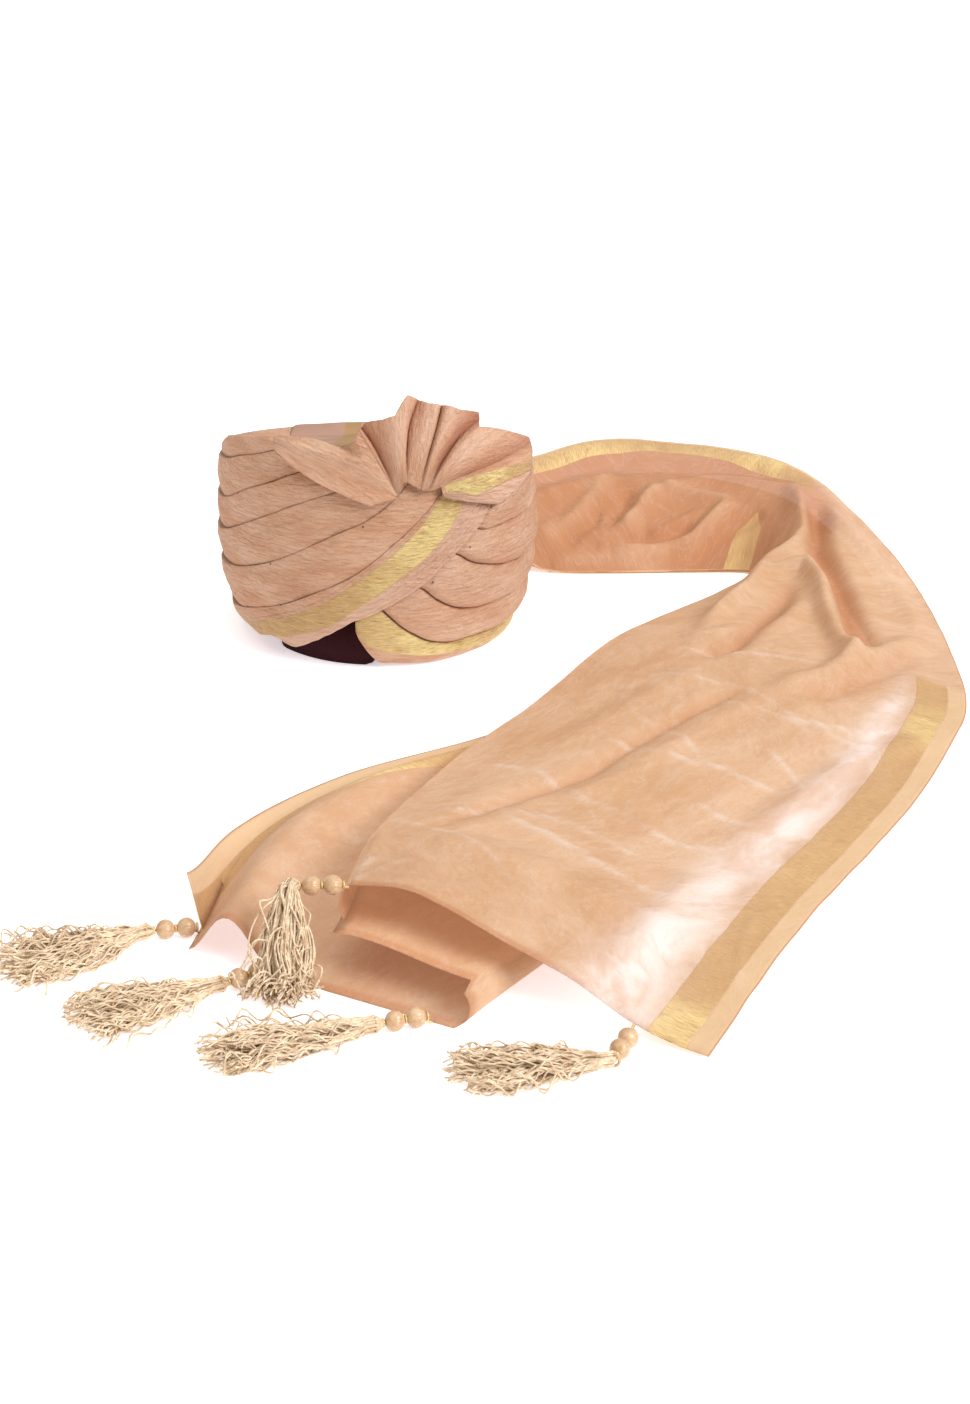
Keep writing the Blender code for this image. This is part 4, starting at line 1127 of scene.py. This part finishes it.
def fan(cloth):
    """Pleats that open from the knot over the front of the rim."""
    first, last = FAN_OUTLINE[0][0], FAN_OUTLINE[-1][0]
    marks = {"strip": [], "shine": [], "selvedge_and_painted_highlight": [], "deep": []}

    def place(u, v):
        direction = first + (last - first) * u
        reach = straight(FAN_OUTLINE, direction) * MM
        ring = 0.03 + 0.97 * v
        bent = direction + smooth(FAN_BENDS, direction) * math.sin(math.pi * ring)
        start, end, stands, peak = next(row for row in FAN_FOLDS if bent <= row[1])
        t = min(max((bent - start) / (end - start), 0), 1)
        puff = max(math.sin(math.pi * t ** (math.log(0.5) / math.log(peak))), 0) ** 0.7
        depth = FAN_BASE * ring + stands * puff * ring ** 0.75 * (1.15 - 0.3 * ring)
        tuck = max(ramp(128, 142, direction), (1 - ramp(18, 36, direction)) * 0.5)
        depth *= 1 - tuck * 0.9 * ramp(0.84, 1.0, ring) ** 2
        depth += 0.9 * ripple(direction * 3, ring * 60, 7, 26) * ring
        depth += 0.45 * ripple(direction * 8, ring * 20, 3, 16) * ring
        low = smooth(FAN_STRIPE_FOOT, ring)
        marks["strip"].append((direction - low) / (FAN_STRIPE_TOP - low) if ring > 0.08
                              else OFF_STRIP)
        # Painted highlight on the gold stripe, strongest near the knot
        marks["shine"].append(0.15 + 0.85 * (1 - ramp(0.66, 0.86, ring)))
        # Painted highlight on the pleats' ridges; below the gold stripe, the selvedge's own paler
        # colour
        ridge = puff ** 3 * ramp(0.2, 0.6, ring) * ramp(22, 40, direction)
        marks["selvedge_and_painted_highlight"].append(max(ramp(0, 1, low - direction),
                                 ridge * (1 - ramp(110, 125, direction))))
        # Painted shade: the cloth darkens in the pleats' valleys
        marks["deep"].append((1 - puff) ** 1.3 * ramp(0.1, 0.4, ring)
                             * ramp(10, 30, direction) * (1 - ramp(125, 160, direction)))
        spot = over_rim(fan_point(direction, reach, depth * MM, ring), ramp(122, 136, direction))
        if direction < 118:
            return spot, (ring * reach, math.radians(direction) * 60 * MM)
        turned = math.radians(direction - LOBE_THREADS)
        return spot, (ring * reach * math.cos(turned), ring * reach * math.sin(turned))

    made = cloth_grid("pleated_fan_cloth", 360, 50, place)
    write_attributes(made, **marks)
    give_thickness(made, FAN_THICKNESS)
    return seat(made, cloth, "rose_cloth", "pleated_fan")


# Tail

def tail_section(along):
    """The tail's section values at a share of its length, by column name."""
    last = len(TAIL_SECTIONS) - 1
    values = {}
    for number, column in enumerate(TAIL_COLUMNS):
        table = [(i / last, row[number]) for i, row in enumerate(TAIL_SECTIONS)]
        values[column] = smooth(table, along)
    for column in ("lift", "tunnel", "overhang"):
        values[column] = max(values[column], 0)
    return values


def tail_top(section, share):
    """Height (mm) of the tail's top layer at a share of the section."""
    turn_in, crest_at, crest = (section[name] for name in ("turn_in", "crest_at", "crest"))
    if share < crest_at:
        t = (share - turn_in) / (crest_at - turn_in)
        return section["fold_height"] + (crest - section["fold_height"]) * ramp(-0.6, 1, t)
    t = (share - crest_at) / (1 - crest_at)
    return crest + (section["outer_height"] - crest) * ramp(0, 1, t)


def tail_layers(section):
    """The points across one section: layer, share of the section and height (mm)."""
    turn_out, turn_in = section["turn_out"], section["turn_in"]
    tunnel_end = max(turn_in * 0.76, TUNNEL_INNER_END + 0.02)
    flap_height = FLAP_HEIGHT * (section["tunnel"] / FLAP_TUNNEL) ** 5
    rows = []

    def middle(share):
        return max(tail_top(section, share) * MIDDLE_HEIGHT, TAIL_FLOOR + MIDDLE_LEAST)

    def run(part, layer, start, end, height, skip=0):
        """Points from one share of the section to another, at height(t, share)."""
        for i in range(skip, LAYER_STEPS[part] + 1):
            share = start + (end - start) * i / LAYER_STEPS[part]
            rows.append((layer, share, height(i / LAYER_STEPS[part], share)))

    def turn(part, at, bulge, low, high):
        """Points round a folded edge, from one height up to another."""
        for i in range(LAYER_STEPS[part]):
            swing = math.pi * (i + 1) / (LAYER_STEPS[part] + 1)
            height = low + (high - low) * (1 - math.cos(swing)) / 2
            rows.append((part, at + bulge * math.sin(swing), height))

    run("flap", "flap", 0, TUNNEL_INNER_END, lambda t, _: TAIL_FLOOR + flap_height * (1 - t))
    run("tunnel", "bottom", TUNNEL_INNER_END, tunnel_end,
        lambda t, _: TAIL_FLOOR + section["tunnel"] * math.sin(math.pi * t) ** 2, skip=1)
    run("bottom", "bottom", tunnel_end, turn_out, lambda *_: TAIL_FLOOR, skip=1)
    turn("turn_out", turn_out, TURN_BULGE, TAIL_FLOOR, middle(turn_out))
    run("middle", "middle", turn_out, turn_in, lambda _, share: middle(share))
    turn("turn_in", turn_in, -TURN_BULGE, middle(turn_in), tail_top(section, turn_in))
    run("top", "top", turn_in, 1, lambda _, share: max(tail_top(section, share), TAIL_FLOOR))
    return rows


def tail_direction(section):
    """The way the tail runs at a section, square to it and away from the turban."""
    across = Vector((section["outer_x"] - section["inner_x"],
                     section["outer_y"] - section["inner_y"], 0)).normalized()
    return Vector((across.y, -across.x, 0))


def tail_place(section, layer, share, height):
    """A point of the tail's cloth in metres."""
    inner = Vector((section["inner_x"], section["inner_y"], 0))
    outer = Vector((section["outer_x"], section["outer_y"], 0))
    spot = inner.lerp(outer, share)
    spot += tail_direction(section) * section["overhang"] * LAYER_OVERHANG[layer]
    spot.z = height + section["lift"]
    return spot * MM


def from_line(x, y, line):
    """Distance (mm) of many places from a line of points, and 0 to 1 towards its two ends."""
    best = np.full(x.shape, 1e9)
    run_at = np.zeros(x.shape)
    run = 0.0
    for (ax, ay), (bx, by) in zip(line, line[1:]):
        length = math.hypot(bx - ax, by - ay)
        t = np.clip(((x - ax) * (bx - ax) + (y - ay) * (by - ay)) / length ** 2, 0, 1)
        away = np.hypot(x - ax - t * (bx - ax), y - ay - t * (by - ay))
        nearer = away < best
        best = np.where(nearer, away, best)
        run_at = np.where(nearer, run + t * length, run_at)
        run += length
    from_end = np.minimum(run_at, run - run_at) / run
    return best, np.clip(from_end / 0.16, 0, 1)


def fold_heights(x, y, folds):
    """How far (mm) a table of folds lifts the cloth at many places."""
    lift = np.zeros(x.shape)
    for height, width, line in folds:
        away, taper = from_line(x, y, line)
        lift += height * np.exp(-(away / width) ** 2) * np.sin(taper * math.pi / 2)
    return lift


def rising(values, start, width):
    """0 up to a start, 1 from a width past it on, and straight between."""
    return np.clip((values - start) / width, 0, 1)


def falling(values, end, width):
    """1 until a width before the end, 0 from the end on, and straight between."""
    return np.clip((end - values) / width, 0, 1)


def tail_layout():
    """The tail as its sections lay it: its corners (mm), and where in the cloth each one is."""
    sections = [tail_section(i / TAIL_STEPS) for i in range(TAIL_STEPS + 1)]
    rows = [tail_layers(section) for section in sections]
    spots = np.array([[tail_place(section, *entry) for entry in row]
                      for section, row in zip(sections, rows)]) / MM
    steps = np.linalg.norm(np.diff(spots, axis=1), axis=2)
    from_inner = np.concatenate([np.zeros((len(rows), 1)), np.cumsum(steps, axis=1)], axis=1)
    layers = np.array([entry[0] for entry in rows[0]])

    def column(name):
        return np.array([[section[name]] for section in sections])

    return SimpleNamespace(
        spots=spots, x=spots[:, :, 0], y=spots[:, :, 1], z=spots[:, :, 2],
        from_inner=from_inner, from_outer=from_inner[:, -1:] - from_inner,
        layers=layers, is_top=layers == "top",
        share=np.array([[entry[1] for entry in row] for row in rows]),
        along=np.linspace(0, 1, TAIL_STEPS + 1)[:, None],
        width=np.hypot(column("outer_x") - column("inner_x"),
                       column("outer_y") - column("inner_y")),
        turn_out=column("turn_out"), turn_in=column("turn_in"), raised=column("lift"))


def shape_tail(laid):
    """Raise the laid cloth's folds, let its front edge fall and wave its hem.

    Gives the height of the back part's folds.
    """
    x, y, z, along = laid.x, laid.y, laid.z, laid.along
    beneath = (np.maximum((z - laid.raised) * MIDDLE_HEIGHT, TAIL_FLOOR + MIDDLE_LEAST)
               + laid.raised + TOP_CLEAR)
    rough = sum(np.array([[ripple(spot[0], spot[1], layer_shift + spot[2] * keeps_height, size)
                           for spot in line] for line in laid.spots]) * deep
                for deep, keeps_height, layer_shift, size in TAIL_ROUGHNESS)
    moves = np.select([laid.layers == "turn_in", laid.is_top], [0.5, 1.0], 0.0)
    z += (fold_heights(x, y, TAIL_FOLDS + TAIL_CREASES) + rough) * moves
    covered = laid.is_top & (laid.share < laid.turn_out)
    z[covered] = np.maximum(z, beneath)[covered]
    folded = np.isin(laid.layers, ("middle", "turn_in", "top"))
    from_fold = np.clip((laid.share - laid.turn_in) * laid.width / FRONT_FALL, 0, 1)
    behind = rising(along, 0.03, 0.06) * falling(along, BACK_END, 0.08)
    fall = 1 - behind * (1 - np.sin(from_fold * math.pi / 2)) * folded
    z[:] = FALLEN + (z - FALLEN) * fall
    relief = fold_heights(x, y, BACK_FOLDS) * laid.is_top * falling(along, BACK_END, 0.05)
    z += relief * np.clip(z / 8, 0, 1)
    loose = rising(along, 0.88, 0.12) ** 2 * rising(z, 6, 20)
    phase = np.array([HEM_WAVE_PHASE.get(layer, 0) for layer in laid.layers])
    z += loose * HEM_WAVE * np.sin(laid.share * 17 + phase)
    z[:] = np.maximum(z, TAIL_FLOOR + 0.25 * np.clip(laid.from_outer / 30, 0, 1))
    return relief


def tail_marks(laid, relief):
    """What the tail's material reads at each corner, by name."""
    x, y, along = laid.x, laid.y, laid.along

    def of_length(table):
        return np.array([[smooth(table, at)] for at in along[:, 0]])

    single = rising(laid.share - laid.turn_out, -0.03, 0.09) * laid.is_top
    from_band = (laid.from_outer - BORDER_TO - of_length(SHEEN_MIDDLE)) / of_length(SHEEN_WIDTH)
    sheen = np.exp(-from_band ** 2) * rising(along, 0.58, 0.10)
    at_back = falling(along, BACK_END, 0.08)
    bend, taper = from_line(x, y, BEND_BORDER)
    bend = np.clip(bend / BEND_BORDER_HALF / (0.1 + 0.9 * taper), 0, 3)
    shine = 0.10 + sum(strength * np.exp(-((x - at_x) ** 2 + (y - at_y) ** 2) / radius ** 2)
                       for at_x, at_y, radius, strength in TAIL_SHINES)
    # Painted shade: darker in the fold valleys and over the back part, lighter on the back part's
    # raised folds
    valleys = [(-height / 14, width, line) for height, width, line in TAIL_FOLDS if height < -4.5]
    deep = (fold_heights(x, y, valleys) * 0.8 + 0.75 * at_back * falling(laid.share, 0.98, 0.1)
            - relief * 0.06)
    creases = [(1.0, width, line) for _, width, line in TAIL_CREASES]
    marks = {
        # Painted glow, stronger on the layer inside the fold
        "glow": np.where(np.isin(laid.layers, ("middle", "turn_in")), GLOW_INSIDE, GLOW),
        "border": np.minimum(laid.from_inner, laid.from_outer) + BORDER_ASIDE * at_back,
        "bend": np.where(laid.is_top, bend, 3),
        "hidden": rising(along, BORDER_HIDDEN[0], 0.01) * falling(along, BORDER_HIDDEN[1], 0.01),
        # Painted sheen on the single layer beside the border
        "single_layer_painted_sheen": single * sheen,
        # Painted shade, with the rolled hem's own darker edge
        "deep": np.maximum(np.clip(deep, 0, 0.85) * laid.is_top,
                           rising(along, HEM_EDGE, 0.001) * 0.6),
        # Painted highlight along the pressed creases
        "crease": np.clip(fold_heights(x, y, creases), 0, 1) * laid.is_top,
        "shine": np.clip(shine, 0, 1)}
    return {name: np.broadcast_to(values, x.shape).ravel().tolist()
            for name, values in marks.items()}


def tail(cloth):
    """The long sheer end, folded in three, with its borders and creases."""
    laid = tail_layout()
    relief = shape_tail(laid)
    columns = len(laid.layers) - 1

    def place(u, v):
        at = round(v * TAIL_STEPS), round(u * columns)
        return Vector(laid.spots[at]) * MM, (laid.from_inner[at] * MM, v * TAIL_FLAT[1])

    made = cloth_grid("sheer_tail", columns, TAIL_STEPS, place)
    write_attributes(made, **tail_marks(laid, relief))
    give_thickness(made, TAIL_SHEER)
    seat(made, cloth, "tail_cloth", "tail")
    return made


# Tassels

def cloth_height(section, layer, share):
    """Height (mm) of one layer's cloth at a share of the section."""
    points = [row for row in tail_layers(section) if row[0] == layer]
    return float(np.interp(share, [row[1] for row in points], [row[2] for row in points]))


def tassel_line(row):
    """Where a tassel's parts lie: hem point, two beads and head."""
    hem, layer, share = tail_section(1.0), row["layer"], row["share"]
    start = tail_place(hem, layer, share, cloth_height(hem, layer, share))
    out = heading(row["cord_heading"])
    off_hem = tail_direction(hem)
    raised = row["drop"] > 0
    bead_height = start.z + BEADS_RAISED if raised else BEAD_RADIUS + BEAD_FLOOR_GAP
    start += off_hem * (CORD_RADIUS * out.cross(off_hem).length + SEAT_GAP)
    spots = {"hem": start.copy()}
    for number, name in enumerate(("upper_bead", "lower_bead")):
        spots[name] = start + out * (FIRST_BEAD_FROM_HEM + number * BEAD_SPACING)
        spots[name].z = bead_height
    spots["hem"].z = max(start.z, CORD_RADIUS * 1.3)
    spots["head"] = spots["lower_bead"] + out * (BEAD_RADIUS + HEAD_FROM_BEAD)
    return spots


def wound_bead(name, centre, out):
    """A bead wound over with thread from hole to hole."""
    turned = out.to_track_quat("Z", "X")

    def wind(corner):
        turn = math.atan2(corner.y, corner.x)
        flat = math.hypot(corner.x, corner.y) / BEAD_RADIUS
        ribbed = 1 - BEAD_RIB * (0.5 + 0.5 * math.cos(BEAD_TURNS * turn)) * flat
        dimple = 1 - 0.35 * max(0, 1 - flat / 0.3) ** 2
        spot = Vector((corner.x * ribbed, corner.y * ribbed, corner.z * dimple * 0.96))
        return turned @ spot + centre

    bead = started(bpy.ops.mesh.primitive_uv_sphere_add, name, segments=4 * BEAD_TURNS,
                   ring_count=28, radius=BEAD_RADIUS)
    move_corners(bead, wind)
    return bead


def thread_ring(name, centre, out, radius, thickness):
    """A ring of thread round the cord."""
    turned = out.to_track_quat("Z", "X")
    ring = started(bpy.ops.mesh.primitive_torus_add, name, major_radius=radius,
                   minor_radius=thickness, major_segments=28, minor_segments=8)
    move_corners(ring, lambda corner: turned @ corner + centre)
    return ring


def strand_tube(name, lines, radius):
    """Many threads as one mesh, each along its own line."""
    curve = bpy.data.curves.new(name, "CURVE")
    curve.dimensions = "3D"
    curve.bevel_depth = radius
    curve.bevel_resolution = 0
    curve.use_fill_caps = True
    for line in lines:
        spline = curve.splines.new("POLY")
        spline.points.add(len(line) - 1)
        for point, spot in zip(spline.points, line):
            point.co = (*spot, 1)
    made = bpy.data.objects.new(name, curve)
    bpy.context.scene.collection.objects.link(made)
    select_only(made)
    bpy.ops.object.convert(target="MESH")
    made = bpy.context.object
    made.data.name = name
    made.data.shade_smooth()
    return made


def skirt_lines(row, spots, seed):
    """The wavy lines of a skirt's strands: locks that keep together, and strays."""
    rng = random.Random(seed)
    out, lean = heading(row["cord_heading"]), heading(row["skirt_heading"])
    side, up = Vector((-lean.y, lean.x, 0)), Vector((0, 0, 1))
    start = spots["head"] + out * 0.5 * MM
    neck = start + (out * 0.45 + lean * 0.55) * HEAD_LENGTH
    floor = STRAND_RADIUS + STRAND_FLOOR_GAP
    lines = []

    def strand(fan_out, high, lock, stray):
        reach = row["length"] * MM * rng.uniform(*STRAND_LENGTHS) * (1 - 0.1 * fan_out ** 2)
        own_size = rng.uniform(0.8, 2.0) * MM * (1 + 1.6 * stray)
        own_wave = rng.uniform(*STRAND_WAVES) * MM
        swing, tilt = rng.uniform(0, math.tau), rng.uniform(0, math.tau)
        aside = rng.gauss(0, 1.5 + 4.5 * stray) * MM
        above = rng.gauss(0, 1.2 + 2.2 * stray) * MM
        curl = rng.uniform(0.4, 1.0) * MM * 9 if rng.random() < CURLED else 0.0
        line = [start + side * fan_out * 2.0 * MM + up * high * 2.0 * MM,
                start + out * 4 * MM + side * fan_out * 4.6 * MM + up * high * 4.6 * MM,
                neck + side * fan_out * 4.4 * MM + up * high * 4.2 * MM]
        for i in range(1, STRAND_POINTS + 1):
            t = i / STRAND_POINTS
            free = min(1, 3.2 * t)
            bend = lock["size"] * math.sin(t * lock["wave"] + lock["phase"]) * free
            kink = own_size * free
            pull = t * reach / own_wave * 2.4
            turned_back = max(t - CURLED_FROM, 0) / (1 - CURLED_FROM)
            spot = neck + lean * (reach * t - curl * turned_back ** 2 * 0.7)
            spot += side * (fan_out * (NECK + row["spread"] * 1.15 * MM * t ** 0.75) + bend
                            + aside * t + kink * math.sin(pull + swing) + curl * turned_back * 0.6)
            rise = high * (4.4 + 4.0 * t) * MM + above * t + kink * math.sin(pull * 1.3 + tilt)
            if row["drop"] > 0:
                spot.z = neck.z - row["drop"] * MM * ramp(0, 0.75, t) + rise + 3 * MM * t
            else:
                spot.z = neck.z + (SKIRT_MIDDLE - neck.z) * ramp(0, 0.4, t) + rise
            spot.z = max(spot.z, floor + abs(math.sin(pull * 0.7 + tilt)) * 1.1 * MM)
            line.append(spot)
        return line

    for number in range(LOCKS):
        place = math.tau * (number + rng.uniform(-0.3, 0.3)) / LOCKS * LOCK_TURNS
        deep = math.sqrt((number + 0.6) / LOCKS)
        lock = {"size": rng.uniform(1.6, 4.6) * MM, "wave": rng.uniform(5, 11),
                "phase": rng.uniform(0, math.tau)}
        for _ in range(STRANDS_PER_LOCK):
            lines.append(strand(deep * math.cos(place) + rng.gauss(0, 0.13),
                                deep * math.sin(place) + rng.gauss(0, 0.13), lock, 0))
    loose = {"size": 3 * MM, "wave": 6, "phase": 0}
    for _ in range(STRAYS):
        loose["phase"] = rng.uniform(0, math.tau)
        lines.append(strand(rng.uniform(-1.3, 1.3), rng.uniform(-0.5, 1.1), loose, 1))
    return lines


def tassel(number, row, yarns):
    """One tassel: cord, two wound beads with gold rings, binding and skirt."""
    spots = tassel_line(row)
    out = heading(row["cord_heading"])
    name = f"tassel_{number}"
    cord = strand_tube(f"{name}_thread", [[spots["hem"], spots["upper_bead"], spots["lower_bead"],
                                           spots["head"]]], CORD_RADIUS)
    seat(cord, yarns["gold"], "bead_thread", f"{name}_cord")
    for part in ("upper_bead", "lower_bead"):
        bead = wound_bead(f"{name}_{part}_wound", spots[part], out)
        seat(bead, yarns["bead"], "bead_thread", f"{name}_{part}")
    for i, (part, reach) in enumerate(RINGS, start=1):
        ring = thread_ring(f"{name}_ring_{i}", spots[part] + out * BEAD_RADIUS * reach, out,
                           RING_RADIUS, RING_THREAD)
        seat(ring, yarns["gold"], "bead_thread")
    along, *thread = BINDING
    binding = thread_ring(f"{name}_binding", spots["head"] + out * along, out, *thread)
    seat(binding, yarns["bead"], "bead_thread")
    skirt = strand_tube(f"{name}_strands", skirt_lines(row, spots, number), STRAND_RADIUS)
    seat(skirt, yarns["yarn"], "tassel_yarn", f"{name}_skirt")


# Studio

def studio():
    """Pale floor, plain soft light and the camera."""
    floor = started(bpy.ops.mesh.primitive_plane_add, "floor", size=FLOOR_SIZE)
    floor.data.materials.append(floor_paper())
    world = bpy.context.scene.world or bpy.data.worlds.new("studio")
    bpy.context.scene.world = world
    world.use_nodes = True
    sky = world.node_tree.nodes["Background"]
    preset(sky, {"Color": (*SKY, 1), "Strength": SKY_STRENGTH})
    for name, place, strength, softness, colour in SUNS:
        bpy.ops.object.light_add(type="SUN", location=place)
        light = bpy.context.object
        light.name = name
        light.data.energy = strength
        light.data.angle = math.radians(softness)
        light.data.color = colour
        light.rotation_euler = (-Vector(place)).to_track_quat("-Z", "Y").to_euler()
    bpy.ops.object.camera_add(location=CAMERA_PLACE,
                              rotation=(math.radians(90 - CAMERA_DOWN), 0, 0))
    camera = bpy.context.object
    camera.data.lens = CAMERA_LENS
    bpy.context.scene.camera = camera
    bpy.context.scene.view_settings.view_transform = "Standard"


def dress():
    """Every piece of the turban."""
    studio()
    rose, bordered = rose_cloth(), bordered_cloth()
    for level in range(len(WRAP_LINES) + 1):
        wrap_band(level, bordered if level == 0 else rose)
    crown_stuff = crown_cloth()
    cap = crown(crown_stuff, lining_and_painted_hollow_shade())
    give_thickness(cap, CAP_CLOTH, offset=-1, lining=1)
    seat(cap, None, "crown_cloth", "crown_cap")
    crown_drape(crown_stuff)
    fan(bordered)
    tail(tail_cloth())
    yarns = {"gold": gold_thread(),
             "bead": yarn("bead_thread", BEAD_LIGHT, BEAD_DEEP, 0.32, 0.7),
             "yarn": yarn("tassel_yarn", YARN_LIGHT, YARN_DEEP)}
    dark_thread = yarn("stitch_thread", STITCH_LIGHT, STITCH_DEEP)
    for number, (angle, height) in enumerate(STITCHES, start=1):
        hand_stitch(number, angle, height, dark_thread)
    for number, values in enumerate(TASSELS, start=1):
        tassel(number, dict(zip(TASSEL_COLUMNS, values)), yarns)


dress()
